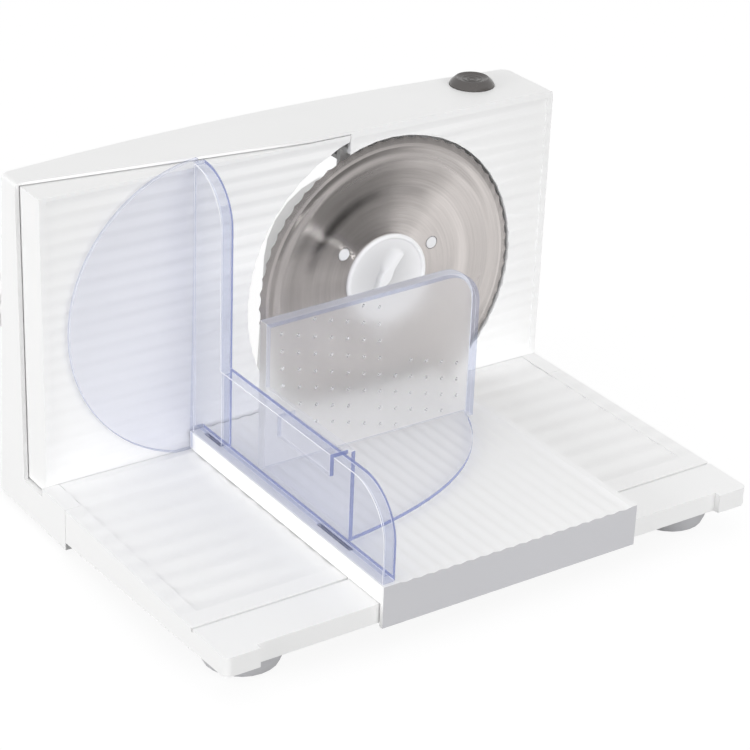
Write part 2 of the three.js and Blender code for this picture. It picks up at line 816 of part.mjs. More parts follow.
// Dished knob with a grip that bends like an S
function bladeKnob() {
  const back = bladeFront + bladeDish - fitGap;
  const front = back - knobHeight;
  const stemEnd = carrierShoulder - fitGap;
  const bottom = front + knobBowl;
  const mouth = socketRadius - 1.5;
  const profile = [[0, stemEnd], [socketRadius, stemEnd], [socketRadius, back], [knobRadius - 0.6, back]];
  profile.push([knobRadius, back - 0.6], [knobRadius, front + 0.8], [knobRadius - 0.8, front]);
  profile.push([knobRadius - knobRim, front + 0.2], [mouth, front + 1.6]);
  profile.push([0.7 * mouth, bottom - 1], [0, bottom]);
  const grip = [];
  const bends = 12;
  const reach = socketRadius - 0.7;
  for (const side of [1, -1]) {
    for (let i = 0; i <= bends; i++) {
      const share = side * (1 - (2 * i) / bends);
      const half = (gripWidth / 2) * (0.2 + 0.8 * Math.sqrt(1 - share ** 6));
      grip.push([reach * share, gripBend * Math.sin(Math.PI * share) + side * half]);
    }
  }
  const middle = new THREE.Vector2();
  const turned = grip.map(([u, v]) => new THREE.Vector2(u, v).rotateAround(middle, gripTilt * radians));
  const geometry = extruded(new THREE.Shape(turned), knobBowl, 1);
  geometry.rotateX(Math.PI / 2);
  geometry.translate(bladeX, bottom + 0.6, bladeZ);
  return join(turnedY(profile, bladeX, bladeZ), toSolid(geometry));
}

// Worm gear and motor

function toothHalf(height) {
  return (Math.PI * gearModule) / 4 - toothBacklash - height * Math.tan(20 * radians);
}

// Helical teeth that follow the worm's lead; a gap faces the worm
function driveGear() {
  const tip = 0.9 * gearModule;
  const root = -1.3 * gearModule;
  const flat = [];
  for (let tooth = 0; tooth < gearTeeth; tooth++) {
    const middle = -Math.PI / 2 + (turn * (tooth + 0.5)) / gearTeeth;
    for (const [height, side] of [[root, -1], [tip, -1], [tip, 1], [root, 1]]) {
      const radius = gearPitchRadius + height;
      const angle = middle + (side * toothHalf(height)) / radius;
      flat.push(new THREE.Vector2(radius * Math.cos(angle), radius * Math.sin(angle)));
    }
  }
  const twist = (gearModule / (2 * wormRadius)) * (gearWidth / gearPitchRadius);
  const loops = [0.5, -0.5].map((share) => {
    return flat.map((p) => {
      const q = p.clone().rotateAround(new THREE.Vector2(), -share * twist);
      return new THREE.Vector3(bladeX + q.x, wormY + share * gearWidth, bladeZ + q.y);
    });
  });
  return cut(skin(loops, flat), rodY(bladeX, bladeZ, axleRadius + fitGap, 0, far));
}

// A profile of radius and place, swept along a screw line about X or Y
function screwSweep(profile, startAngle, endAngle, lead, steps, place) {
  const loops = [];
  for (let i = 0; i <= steps; i++) {
    const angle = startAngle + ((endAngle - startAngle) * i) / steps;
    loops.push(profile.map(([radius, along]) => place(radius, angle, along + (lead * angle) / turn)));
  }
  return skin(loops, profile.map(([radius, along]) => new THREE.Vector2(radius, along)));
}

// Right-hand thread with its crest towards the gear at the gear's own middle
function worm() {
  const tip = 0.9 * gearModule;
  const root = -1.3 * gearModule;
  const core = wormRadius + root + 0.2;
  const lead = Math.PI * gearModule;
  const [x0, x1] = [bladeX - wormLength / 2, bladeX + wormLength / 2];
  const turns = (wormLength - 1.5 * lead) / lead;
  const profile = [[wormRadius + root, -toothHalf(root)], [wormRadius + tip, -toothHalf(tip)]];
  profile.push([wormRadius + tip, toothHalf(tip)], [wormRadius + root, toothHalf(root)]);
  const place = (radius, angle, along) => {
    const y = wormY - radius * Math.sin(angle);
    return new THREE.Vector3(bladeX + along, y, wormZ + radius * Math.cos(angle));
  };
  const steps = Math.round(turns * smallSides);
  const thread = screwSweep(profile, (-turns * turn) / 2, (turns * turn) / 2, lead, steps, place);
  const body = join(rodX(wormY, wormZ, core, x0, x1), thread);
  return cut(body, rodX(wormY, wormZ, shaftRadius + fitGap, -far, far));
}

function motorRotor() {
  const [start, end] = [motorX + 7, motorX + motorLength - 8];
  const [left, right] = [postLeft + 0.5, motorX + motorLength + endCapThickness + 3];
  const core = motorRadius - 5;
  const profile = [[0, left], [shaftRadius, left], [shaftRadius, start], [core, start]];
  profile.push([core, end], [shaftRadius, end], [shaftRadius, right], [0, right]);
  return turnedX(profile, wormY, wormZ, smallSides);
}

function motorCan() {
  const [left, right] = [motorX, motorX + motorLength];
  const [bore, inner] = [shaftRadius + fitGap, motorRadius - 2];
  const profile = [[bore, left], [motorRadius, left], [motorRadius, right], [inner, right]];
  profile.push([inner, left + 4], [bore, left + 4], [bore, left]);
  const holes = motorScrewYs.map((y) => rodX(y, wormZ, screwShank + fitGap, left - 1, left + 5));
  return cut(turnedX(profile, wormY, wormZ), ...holes);
}

function motorEndCap() {
  const face = motorX + motorLength + seatGap;
  const back = face + endCapThickness;
  const [bore, boss] = [shaftRadius + fitGap, shaftRadius + 4];
  const profile = [[bore, face], [motorRadius, face], [motorRadius, back], [boss, back]];
  profile.push([boss, back + 5], [0, back + 5], [0, back + 3.5], [bore, back + 3.5], [bore, face]);
  return turnedX(profile, wormY, wormZ);
}

function motorBracket() {
  const right = motorX - seatGap;
  const left = right - bracketThickness;
  const foot = bracketFoot - baseDrop + seatGap;
  const half = motorRadius - 0.5;
  const body = join(
    box(left, right, wormY - half, wormY + half, foot, bracketTop),
    box(left, boardRight, wormY - 11, wormY + 11, foot, foot + 3),
  );
  const holes = motorScrewYs.map((y) => rodX(y, wormZ, screwShank + fitGap, left - 1, right + 1));
  const footHoles = bracketScrewYs.map((y) => {
    return rodZ(bracketScrewX, y, screwShank + fitGap, foot - 1, foot + 4);
  });
  return cut(body, rodX(wormY, wormZ, shaftRadius + 2, left - 1, right + 1), ...holes, ...footHoles);
}

function motorScrew(y) {
  const seat = motorX - seatGap - bracketThickness - seatGap;
  const tip = motorX + 3.5;
  const profile = [[0, seat - 2], [screwHead - 1, seat - 2], [screwHead - 0.4, seat], [screwShank, seat]];
  profile.push([screwShank, tip], [0, tip]);
  return turnedX(profile, y, wormZ, screwSides);
}

function bracketScrew(y) {
  const seat = bracketFoot - baseDrop + 3 + 2 * seatGap;
  const tip = wall - baseDrop + 1;
  const profile = [[0, tip], [screwShank, tip], [screwShank, seat], [screwHead - 0.4, seat]];
  profile.push([screwHead - 1, seat + 2], [0, seat + 2]);
  return turnedZ(profile, bracketScrewX, y, screwSides);
}

// Button, spring and switch

function powerButton() {
  const flangeTop = roofHeight - wall - seatGap;
  const flangeBottom = flangeTop - buttonFlange;
  const crown = roofHeight + buttonRise;
  const rim = buttonRadius + 2;
  const stemEnd = shelfTop + 5 + buttonTravel;
  const stem = 4;
  const profile = [[0, stemEnd], [stem, stemEnd], [stem, flangeBottom], [rim, flangeBottom], [rim, flangeTop]];
  profile.push([buttonRadius, flangeTop], [buttonRadius, crown - 3.4], [buttonRadius - 1.2, crown - 1.7]);
  profile.push([buttonRadius - 4, crown - 0.6], [buttonRadius / 2, crown - 0.1], [0, crown]);
  return turnedZ(profile, buttonX, buttonBack);
}

function springGap(points, perTurn) {
  let least = Infinity;
  points.forEach((p, i) => {
    for (let j = i + perTurn - 1; j < points.length; j++) {
      least = Math.min(least, p.distanceTo(points[j]) - 2 * springWire);
    }
  });
  return least;
}

function buttonSpring() {
  const low = shelfTop + springWire + seatGap;
  const high = roofHeight - wall - buttonFlange - springWire - 2 * seatGap;
  const perTurn = 8;
  const steps = springTurns * perTurn;
  const section = [0, 1, 2, 3].map((i) => [Math.cos((turn * i) / 4), Math.sin((turn * i) / 4)]);
  const profile = section.map(([u, v]) => [springRadius + springWire * u, springWire * v]);
  const place = (radius, angle, along) => {
    const x = buttonX + radius * Math.cos(angle);
    return new THREE.Vector3(x, buttonBack + radius * Math.sin(angle), low + along);
  };
  const lead = (high - low) / springTurns;
  const line = Array.from({ length: steps + 1 }, (_, i) => {
    return place(springRadius, (turn * i) / perTurn, (lead * i) / perTurn);
  });
  console.log(`least gap between the spring's turns: ${springGap(line, perTurn).toFixed(2)} mm`);
  return screwSweep(profile, 0, springTurns * turn, lead, steps, place);
}

function microSwitch() {
  const low = shelfTop + seatGap;
  const body = box(buttonX - 6, buttonX + 6, buttonBack - 3, buttonBack + 3, low, low + 3.9);
  return join(body, rodZ(buttonX, buttonBack, 1.5, low + 3, low + 4.5));
}

// Stop plate with its cam sleeve, guide rods and dial

function stopPlate() {
  const side = [plateLeft, plateLeft + wall];
  const slot = rodY(bladeX, bladeZ, slotRadius, -1, far, 2 * wideSides);
  const stiffenerRoom = rodY(bladeX, bladeZ, slotRadius + 2, -1, far, wideSides);
  const stiffeners = [0, 1, 2].map((i) => {
    const x = columnRight + stiffenerPitch / 3 + stiffenerPitch * i;
    return box(x, x + 2, plateThickness - 0.5, 2 * plateThickness, 0, plateTop - plateFlange);
  });
  const guides = guideRods.map(([, z]) => rodY(columnX, z, rodRadius + 3, plateThickness - 0.5, guideEnd));
  const bores = guideRods.map(([, z]) => rodY(columnX, z, rodRadius + fitGap, plateThickness + 1.6, far));
  const body = join(
    cut(box(plateLeft, plateRight, 0, plateThickness, -plateFoot, plateTop), slot),
    box(...side, 0, plateSide, -plateFoot, plateTop),
    box(plateLeft, -halfWidth + roofSeamEnd, 0, plateSide - 1, plateTop - plateFlange, plateTop),
    ...stiffeners.map((rib) => cut(rib, stiffenerRoom)),
    ...guides,
  );
  const ribs = waveShape(4.8, roofHeight - ribMargin, faceRibPitch, ribDepth, (z, depth) => [depth, z]);
  return cut(body, prismX(ribs, plateLeft + ribMargin, far), ...bores);
}

// Tube on the plate's back; the dial's pin runs in its screw-shaped slot
function camSleeve() {
  const start = plateThickness + seatGap;
  const end = start + sleeveLength;
  const outer = sleeveRadius + sleeveWall;
  const profile = [[sleeveRadius, start], [outer + 2.5, start], [outer + 2.5, start + 2], [outer, start + 2]];
  profile.push([outer, end], [sleeveRadius, end], [sleeveRadius, start]);
  const half = camPinRadius + slideGap;
  const slot = [[sleeveRadius - 2, -half], [outer + 2, -half], [outer + 2, half], [sleeveRadius - 2, half]];
  const spare = (camPinRadius + slideGap) / sleeveRadius;
  const place = (radius, angle, along) => {
    const x = columnX + radius * Math.cos(angle);
    return new THREE.Vector3(x, end - camPinBack + along, dialHeight + radius * Math.sin(angle));
  };
  const whole = dialTurn * radians;
  return cut(
    turnedY(profile, columnX, dialHeight, smallSides),
    screwSweep(slot, -spare, whole + spare, -leadPerTurn, 2 * screwSides, place),
  );
}

function thicknessDial() {
  const start = dialSeat + fitGap;
  const end = start + dialThickness;
  const outline = [];
  const steps = dialFlutes * 4;
  for (let i = 0; i < steps; i++) {
    const angle = (turn * i) / steps;
    const radius = dialRadius - 0.6 * (1 - Math.cos((turn * i * dialFlutes) / steps));
    outline.push([columnX + radius * Math.cos(angle), dialHeight + radius * Math.sin(angle)]);
  }
  const pinY = plateThickness + seatGap + sleeveLength - camPinBack;
  const pinHole = rodX(pinY, dialHeight, camPinRadius + 0.2, columnX + 1.5, columnX + far);
  const pointer = box(columnX - 1, columnX + 1, end - 1, end + 1, dialHeight + 3, dialHeight + dialRadius - 3);
  const shaft = rodY(columnX, dialHeight, dialShaft, shaftTip, start + 1, roundSides);
  return join(cut(shaft, pinHole), prismY(polygon(outline), start, end), pointer);
}

function camPin() {
  const pinY = plateThickness + seatGap + sleeveLength - camPinBack;
  return rodX(pinY, dialHeight, camPinRadius, columnX + 1.8, columnX + sleeveRadius + sleeveWall - 0.3);
}

function guideRod(z) {
  const seat = rodSeat - seatGap;
  const flange = seat - rodFlange;
  const profile = [[0, rodTip], [rodRadius, rodTip], [rodRadius, flange], [7, flange], [7, seat], [0, seat]];
  return turnedY(profile, columnX, z, smallSides);
}

// Carriage

function carriageTray() {
  const inside = [trayLeft + wall, trayRight - wall];
  const block = join(
    box(trayLeft, trayRight, trayFront, trayRear, fitGap, trayHeight),
    box(trayLeft, trayRight, trayFront, trayFront + wall, -traySkirt, trayHeight),
  );
  const hollow = box(...inside, trayFront + wall, trayRear - wall, -far, trayHeight - trayTopWall);
  const runnerHalf = runnerWidth / 2;
  const runnerFoot = slideGap - grooveDepth;
  const [runnerFront, runnerBack] = [grooveY - runnerHalf, grooveY + runnerHalf];
  const runner = box(trayLeft, trayRight, runnerFront, runnerBack, runnerFoot, trayHeight - 1);
  const slots = tabPlaces(fitGap).map(([x0, x1, y0, y1]) => box(x0, x1, y0, y1, -1, far));
  const ribs = waveShape(guardRight + 2, trayRight - ribMargin, trayRibPitch, ribDepth, (x, depth) => {
    return [x, trayHeight - depth];
  });
  return cut(join(cut(block, hollow), runner), prismY(ribs, -far, far), ...slots);
}

// Tabs under the guard, as X and Y ranges widened by gap
function tabPlaces(gap) {
  const right = guardRight - 0.6;
  return tabFronts.map((front, i) => {
    return [right - tabWidth - gap, right + gap, -front - gap, -front + tabLengths[i] + gap];
  });
}

// Outline of the guard's wall in Y and Z; inset draws the inside of its rim
function guardOutline(inset) {
  const rear = inset > 0 ? far : -1;
  const bottom = guardBottom + inset;
  const [tallFront, lowFront] = [-1 - guardDepth + inset, trayFront + guardSetback + inset];
  const [high, low] = [guardHeight - inset, guardLow - inset];
  const round = guardRound - inset;
  const outline = new THREE.Shape();
  outline.moveTo(rear, bottom);
  outline.lineTo(rear, high);
  outline.lineTo(tallFront + round, high);
  outline.absarc(tallFront + round, high - round, round, Math.PI / 2, Math.PI);
  outline.lineTo(tallFront, low);
  outline.lineTo(lowFront + round, low);
  outline.absarc(lowFront + round, low - round, round, Math.PI / 2, Math.PI);
  outline.lineTo(lowFront, bottom);
  return outline;
}

function carriageGuard() {
  const inner = guardLeft + clearWall;
  const shell = cut(
    prismX(guardOutline(0), guardLeft, guardRight, 8),
    prismX(guardOutline(clearWall), inner, far, 8),
  );
  const moonX = inner + moonOffset - clearWall;
  const disc = rodY(moonX, moonHeight, moonRadius, -1 - clearWall, -1, 1.5 * wideSides);
  const keep = join(
    box(-far, inner, -far, far, guardBottom, far),
    box(-far, trayLeft - fitGap, -far, far, fitGap + 1, far),
  );
  const front = -1 - guardDepth;
  const rib = box(guardLeft, guardRight, front, front + clearWall, guardBottom, guardLow);
  const tabs = tabPlaces(0).map(([x0, x1, y0, y1]) => {
    return box(x0, x1, y0, y1, guardBottom - tabDepth, guardBottom + 1);
  });
  return join(shell, rib, disc.intersect(keep), ...tabs);
}

// Pusher

function pusherPlate() {
  const front = -pusherBack - clearWall;
  const outline = (inset) => {
    const [left, right] = [pusherLeft + inset, pusherRight - inset];
    const [bottom, top] = [inset > 0 ? -far : pusherBottom, pusherTop - inset];
    const round = pusherRound - inset;
    const shape = new THREE.Shape();
    shape.moveTo(left, bottom);
    shape.lineTo(right, bottom);
    shape.lineTo(right, top - round);
    shape.absarc(right - round, top - round, round, 0, Math.PI / 2);
    shape.lineTo(left, top - pusherDip);
    return shape;
  };
  return cut(
    prismY(outline(0), -pusherBack - pusherRim, -pusherBack, 8),
    prismY(outline(clearWall), -far, front, 8),
  );
}

function pusherFloor() {
  const floor = new THREE.Shape();
  const back = -pusherBack - clearWall / 2;
  floor.moveTo(pusherLeft, back);
  floor.lineTo(pusherRight - clearWall, back);
  const [bendX, bendY] = [pusherLeft + floorBendX * pusherWidth, back - floorBendY * pusherReach];
  floor.quadraticCurveTo(bendX, bendY, pusherLeft, back - pusherReach);
  return prismZ(floor, pusherBottom, pusherBottom + clearWall - 0.3, 16);
}

function saddle() {
  const [front, back] = [-saddleFront, saddleLength - saddleFront];
  const outer = guardLeft - fitGap;
  const top = guardLow + fitGap;
  return join(
    box(outer - clearWall, pusherLeft + 1, front, back, top, top + clearWall),
    box(outer - clearWall, outer, front, back, guardLow - saddleFlap, top + clearWall),
  );
}

// Slanting rows of blunt studs on the food side
function studs() {
  const rows = [...studRows.map(([first, last], row) => [row, first, last]), ...studRowEnds];
  return rows.flatMap(([row, first, last]) => {
    return Array.from({ length: last - first + 1 }, (_, i) => {
      const column = first + i;
      const x = pusherLeft + studFirstX + column * studPitch + (row - 1) * studRowShift;
      const z = pusherBottom + studFirstZ - column * studFall - (row - 1) * studRowPitch;
      const geometry = new THREE.ConeGeometry(studRadius, studHeight + 0.5, 5);
      geometry.translate(x, (studHeight - 0.5) / 2 - pusherBack, z);
      return toSolid(geometry);
    });
  });
}

function pusher() {
  const sideEnd = -pusherBack - pusherReach - clearWall / 2;
  const sideTop = guardLow + fitGap + clearWall;
  const side = box(pusherLeft, pusherLeft + clearWall, sideEnd, -pusherBack, pusherBottom, sideTop);
  return join(pusherPlate(), pusherFloor(), side, saddle(), ...studs());
}

// Assembly

const whitePlastic = { color: 0xf1f1f0, roughness: 0.42, metalness: 0 };
const whiteGloss = { color: 0xf7f7f6, roughness: 0.22, metalness: 0 };
const greyRubber = { color: 0xd2d3d6, roughness: 0.8, metalness: 0 };
const steel = { color: 0xb3aca6, roughness: 0.3, metalness: 1 };
const bronze = { color: 0xb08a4a, roughness: 0.4, metalness: 1 };
const zincPlate = { color: 0x9a9fa3, roughness: 0.5, metalness: 1 };
const blackPlastic = { color: 0x2b2c2f, roughness: 0.25, metalness: 0 };
const clearPlastic = { color: 0xc4c9e6, roughness: 0.1, metalness: 0, transparent: true, opacity: 0.4 };

const machine = new THREE.Group();
const sides = [["left", -1], ["right", 1]];

function piece(name, body, look) {
  const mesh = new THREE.Mesh(toGeometry(body), new THREE.MeshStandardMaterial(look));
  mesh.name = name;
  machine.add(mesh);
}

piece("housing_shell", housingShell(), whitePlastic);
piece("rear_cover", rearCover(), whitePlastic);
coverScrews.forEach(([x, z], i) => piece(`cover_screw_${i + 1}`, coverScrew(x, z), zincPlate));
piece("cord_inlet", cordInlet(), blackPlastic);
piece("table", table(), whitePlastic);
for (const [name, side] of sides) {
  piece(`hinge_pin_${name}`, hingePin(side), steel);
  piece(`front_foot_${name}`, frontFoot(side), greyRubber);
  piece(`rear_foot_${name}`, rearFoot(side), greyRubber);
}
piece("blade", blade(), steel);
piece("blade_carrier", bladeCarrier(), whiteGloss);
piece("spindle_axle", spindleAxle(), steel);
piece("spindle_bush", spindleBush(), bronze);
piece("blade_knob", bladeKnob(), whiteGloss);
piece("drive_gear", driveGear(), whiteGloss);
piece("worm", worm(), bronze);
piece("motor_rotor", motorRotor(), steel);
piece("motor_can", motorCan(), zincPlate);
piece("motor_end_cap", motorEndCap(), blackPlastic);
piece("motor_bracket", motorBracket(), zincPlate);
motorScrewYs.forEach((y, i) => piece(`motor_screw_${i + 1}`, motorScrew(y), steel));
bracketScrewYs.forEach((y, i) => piece(`bracket_screw_${i + 1}`, bracketScrew(y), steel));
piece("power_button", powerButton(), blackPlastic);
piece("button_spring", buttonSpring(), steel);
piece("micro_switch", microSwitch(), blackPlastic);
piece("stop_plate", stopPlate(), whitePlastic);
piece("cam_sleeve", camSleeve(), whiteGloss);
piece("thickness_dial", thicknessDial(), whitePlastic);
piece("cam_pin", camPin(), steel);
guideRods.forEach(([name, z]) => piece(name, guideRod(z), steel));
piece("carriage_tray", carriageTray(), whitePlastic);
piece("carriage_guard", carriageGuard(), clearPlastic);
piece("pusher", pusher(), clearPlastic);

// The origin is under the middle of the whole machine, on the counter
const dialEnd = dialSeat + fitGap + dialThickness + 1;
machine.position.set(0, -(tableFront + dialEnd) / 2, footDrop);

const model = new THREE.Group();
model.add(machine);
model.updateMatrixWorld(true);

export default model;
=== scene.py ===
# %% [markdown]
# # A food slicer, dressed in Blender
#
# The slicer is built elsewhere as solid pieces that already have their real sizes and places.
# This lesson loads those solids, gives each surface its finish, adds the details that are too
# fine for the solids, and sets up the studio that the photograph shows.

# %% Load the solids
import math

import bpy
import bmesh
from mathutils import Matrix, Vector


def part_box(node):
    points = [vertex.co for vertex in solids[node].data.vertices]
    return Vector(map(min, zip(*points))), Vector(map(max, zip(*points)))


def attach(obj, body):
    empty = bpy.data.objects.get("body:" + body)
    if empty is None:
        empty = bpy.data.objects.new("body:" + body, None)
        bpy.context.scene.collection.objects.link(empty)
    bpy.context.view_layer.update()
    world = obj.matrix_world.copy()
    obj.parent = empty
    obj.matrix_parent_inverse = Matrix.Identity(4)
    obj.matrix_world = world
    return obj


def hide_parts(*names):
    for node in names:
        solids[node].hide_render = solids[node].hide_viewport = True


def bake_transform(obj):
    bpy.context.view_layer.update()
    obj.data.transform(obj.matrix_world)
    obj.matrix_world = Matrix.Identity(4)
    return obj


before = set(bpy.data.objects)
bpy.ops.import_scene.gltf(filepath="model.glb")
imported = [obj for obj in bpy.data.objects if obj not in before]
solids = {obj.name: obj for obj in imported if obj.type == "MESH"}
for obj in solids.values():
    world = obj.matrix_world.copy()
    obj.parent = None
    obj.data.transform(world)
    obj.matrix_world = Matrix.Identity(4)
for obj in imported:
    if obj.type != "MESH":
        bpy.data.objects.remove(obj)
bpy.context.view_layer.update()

# %% [markdown]
# ## The camera
#
# The photograph was taken from the front left and from above with a long lens. The place and the
# angles below were worked out from the blade's circle and the straight edges of the machine.
# A camera looks along its own minus Z axis, so its three axes are written as columns of a matrix.

# %% Place the camera
scene = bpy.context.scene
photo_side = 750  # pixels
focal_pixels = 2383.89
yaw, pitch, roll = 0.610393, 0.460727, 0.039825
middle_seen = (373.133, 365.590)  # pixel on the lens axis
camera_place = Vector((-0.66956, -0.96315, 0.67029))

ahead = Vector((math.sin(yaw) * math.cos(pitch), math.cos(yaw) * math.cos(pitch), -math.sin(pitch)))
level = Vector((math.cos(yaw), -math.sin(yaw), 0))
above = level.cross(ahead)
to_right = math.cos(roll) * level + math.sin(roll) * above
to_top = math.cos(roll) * above - math.sin(roll) * level

camera_data = bpy.data.cameras.new("photo_camera")
camera_data.sensor_width = 36
camera_data.lens = camera_data.sensor_width * focal_pixels / photo_side
camera_data.shift_x = (photo_side / 2 - middle_seen[0]) / photo_side
camera_data.shift_y = (middle_seen[1] - photo_side / 2) / photo_side
camera = bpy.data.objects.new("photo_camera", camera_data)
camera_axes = Matrix((to_right, to_top, -ahead)).transposed().to_4x4()
camera.matrix_world = Matrix.Translation(camera_place) @ camera_axes
scene.collection.objects.link(camera)
scene.camera = camera
print("lens:", round(camera_data.lens, 1), "mm")

# %% [markdown]
# ## Small helpers for shader nodes
#
# Every finish here is made of nodes, so short helpers keep the later cells readable. The first ones
# add a node with its settings, join two sockets, and start a node group with named sockets. A group
# only hands out values that change over a surface. The shader stays outside it.

# %% Node helpers
def add_node(tree, kind, label, settings=None, values=None):
    node = tree.nodes.new(kind)
    node.label = label
    for name, value in (settings or {}).items():
        setattr(node, name, value)
    for name, value in (values or {}).items():
        node.inputs[name].default_value = value
    return node


def join(source, target):
    source.id_data.links.new(source, target)


def start_group(name, inputs, outputs):
    tree = bpy.data.node_groups.new(name, "ShaderNodeTree")
    for label, kind, value in inputs:
        socket = tree.interface.new_socket(name=label, in_out="INPUT", socket_type=kind)
        socket.default_value = value
    for label, kind in outputs:
        tree.interface.new_socket(name=label, in_out="OUTPUT", socket_type=kind)
    start = tree.nodes.new("NodeGroupInput")
    end = tree.nodes.new("NodeGroupOutput")
    return tree, start.outputs, end.inputs


def place_group(tree, group, values):
    node = add_node(tree, "ShaderNodeGroup", group.name, {"node_tree": group}, values)
    return node.outputs


print("node helpers ready")

# %% [markdown]
# ## Helpers for sums and mixes
#
# The next helpers do arithmetic with nodes. Most take sockets or plain numbers and hand back the
# socket with the result, so that a formula reads from the inside out. A socket knows the tree that
# it belongs to, so these helpers ask it.

# %% Sum and mix helpers
def is_number(value):
    return isinstance(value, (int, float))


def feed(value, socket):
    if is_number(value):
        socket.default_value = value
    else:
        join(value, socket)


def math_node(operation, *values):
    tree = next(value.id_data for value in values if not is_number(value))
    node = add_node(tree, "ShaderNodeMath", operation.lower(), {"operation": operation})
    for value, socket in zip(values, node.inputs):
        feed(value, socket)
    return node.outputs[0]


def times(first, second):
    return math_node("MULTIPLY", first, second)


def minus(first, second):
    return math_node("SUBTRACT", first, second)


def length_of(across, up):
    square = times(across, across)
    return math_node("SQRT", math_node("MULTIPLY_ADD", up, up, square))


def spread(value, low, high, to_low, to_high):
    """Stretches low to high into to_low to to_high, and holds the ends."""
    ends = {"From Min": low, "From Max": high, "To Min": to_low, "To Max": to_high}
    node = add_node(value.id_data, "ShaderNodeMapRange", "spread", {"clamp": True}, ends)
    join(value, node.inputs["Value"])
    return node.outputs["Result"]


def mix_numbers(label, share, first, second):
    node = add_node(share.id_data, "ShaderNodeMix", label, {"data_type": "FLOAT"})
    feed(share, node.inputs["Factor"])
    feed(first, node.inputs[2])
    feed(second, node.inputs[3])
    return node.outputs[0]


def mix_tones(label, share, first, second):
    node = add_node(share.id_data, "ShaderNodeMix", label, {"data_type": "RGBA"})
    join(share, node.inputs["Factor"])
    node.inputs[6].default_value = (*first, 1.0)
    node.inputs[7].default_value = (*second, 1.0)
    return node.outputs[2]


def split_place(tree, label):
    """The three coordinates of a spot, in metres from the origin of its solid."""
    place = add_node(tree, "ShaderNodeTexCoord", label).outputs["Object"]
    parts = add_node(tree, "ShaderNodeSeparateXYZ", label)
    join(place, parts.inputs[0])
    return parts.outputs


def add_noise(label, place, **values):
    node = add_node(place.id_data, "ShaderNodeTexNoise", label)
    join(place, node.inputs["Vector"])
    for name, value in values.items():
        feed(value, node.inputs[name])
    return node.outputs["Fac"]


def dot_product(label, vector, direction):
    node = add_node(vector.id_data, "ShaderNodeVectorMath", label, {"operation": "DOT_PRODUCT"})
    join(vector, node.inputs[0])
    node.inputs[1].default_value = direction
    return node.outputs["Value"]


def scale_vector(label, vector, share):
    node = add_node(vector.id_data, "ShaderNodeVectorMath", label, {"operation": "SCALE"})
    join(vector, node.inputs[0])
    join(share, node.inputs["Scale"])
    return node.outputs[0]


def show_mix(tree, label, share, first, second):
    """Mixes two shaders and shows the result as the surface."""
    pick = add_node(tree, "ShaderNodeMixShader", label)
    join(share, pick.inputs["Fac"])
    join(first.outputs[0], pick.inputs[1])
    join(second.outputs[0], pick.inputs[2])
    join(pick.outputs["Shader"], tree.nodes["Material Output"].inputs["Surface"])


FLOAT, COLOUR = "NodeSocketFloat", "NodeSocketColor"
print("sum and mix helpers ready")

# %% [markdown]
# ## Moulded grain
#
# White appliance plastic isn't perfectly smooth: the steel mould leaves a fine even grain, and the
# surface is a little uneven in tone and gloss. Noise at three sizes gives this: a fine one for the
# bump, a middle one for the gloss and a wide one for the tone.

# %% Group: moulded grain
def build_mould_grain():
    tree, given, out = start_group(
        "mould_grain",
        [
            ("Grain size", FLOAT, 0.0004),
            ("Base roughness", FLOAT, 0.4),
            ("Tone", COLOUR, (0.8, 0.8, 0.8, 1)),
        ],
        [("Colour", COLOUR), ("Roughness", FLOAT), ("Height", FLOAT)],
    )
    place = add_node(tree, "ShaderNodeTexCoord", "place").outputs["Object"]
    per_metre = math_node("DIVIDE", 1.0, given["Grain size"])
    fine = add_noise("fine grain", place, Scale=per_metre, Detail=2.0, Roughness=0.6)
    join(fine, out["Height"])
    patches = add_noise("gloss patches", place, Scale=70.0, Detail=3.0)
    uneven = spread(patches, 0.3, 0.7, -0.05, 0.05)
    join(math_node("ADD", given["Base roughness"], uneven), out["Roughness"])
    wide = add_noise("tone drift", place, Scale=9.0, Detail=2.0)
    drift = spread(wide, 0.3, 0.7, 0.975, 1.0)
    join(scale_vector("tone", given["Tone"], drift), out["Colour"])
    return tree


mould_grain = build_mould_grain()
print("group:", mould_grain.name)

# %% [markdown]
# ## Moulded ribs
#
# The plate, the tray, the table and the housing's front have shallow ribs, so that food slides
# easily and the flat walls stay stiff. The solids have them as facets, and smooth shading between
# so few facets would flatten them. So the group gives the ribs' cosine wave in metres, for a bump
# that adds a share of the rib's depth to the shading, and it stops where the ribbed area ends.

# %% Group: moulded ribs
def build_moulded_ribs():
    inputs = [(name, FLOAT, 0.0) for name in ("Along", "Start", "End", "Pitch", "Depth", "Facing")]
    tree, given, out = start_group("moulded_ribs", inputs, [("Height", FLOAT)])
    past = minus(given["Along"], given["Start"])
    waves = math_node("DIVIDE", past, given["Pitch"])
    wave = math_node("COSINE", times(waves, 2 * math.pi))
    high = times(times(wave, 0.5), given["Depth"])
    left = minus(given["End"], given["Along"])
    inside = times(past, left)
    ribbed = math_node("GREATER_THAN", inside, 0.0)
    shown = times(ribbed, given["Facing"])
    join(times(high, shown), out["Height"])
    return tree


moulded_ribs = build_moulded_ribs()
print("group:", moulded_ribs.name)

# %% [markdown]
# ## Turned rings
#
# Steel discs and turned parts carry fine rings from the tool, and they reflect light in radial
# streaks. The group measures the distance and the angle from an axis that runs along Y, and turns
# them into ring noise that is very fine across the radius and very long around the circle.

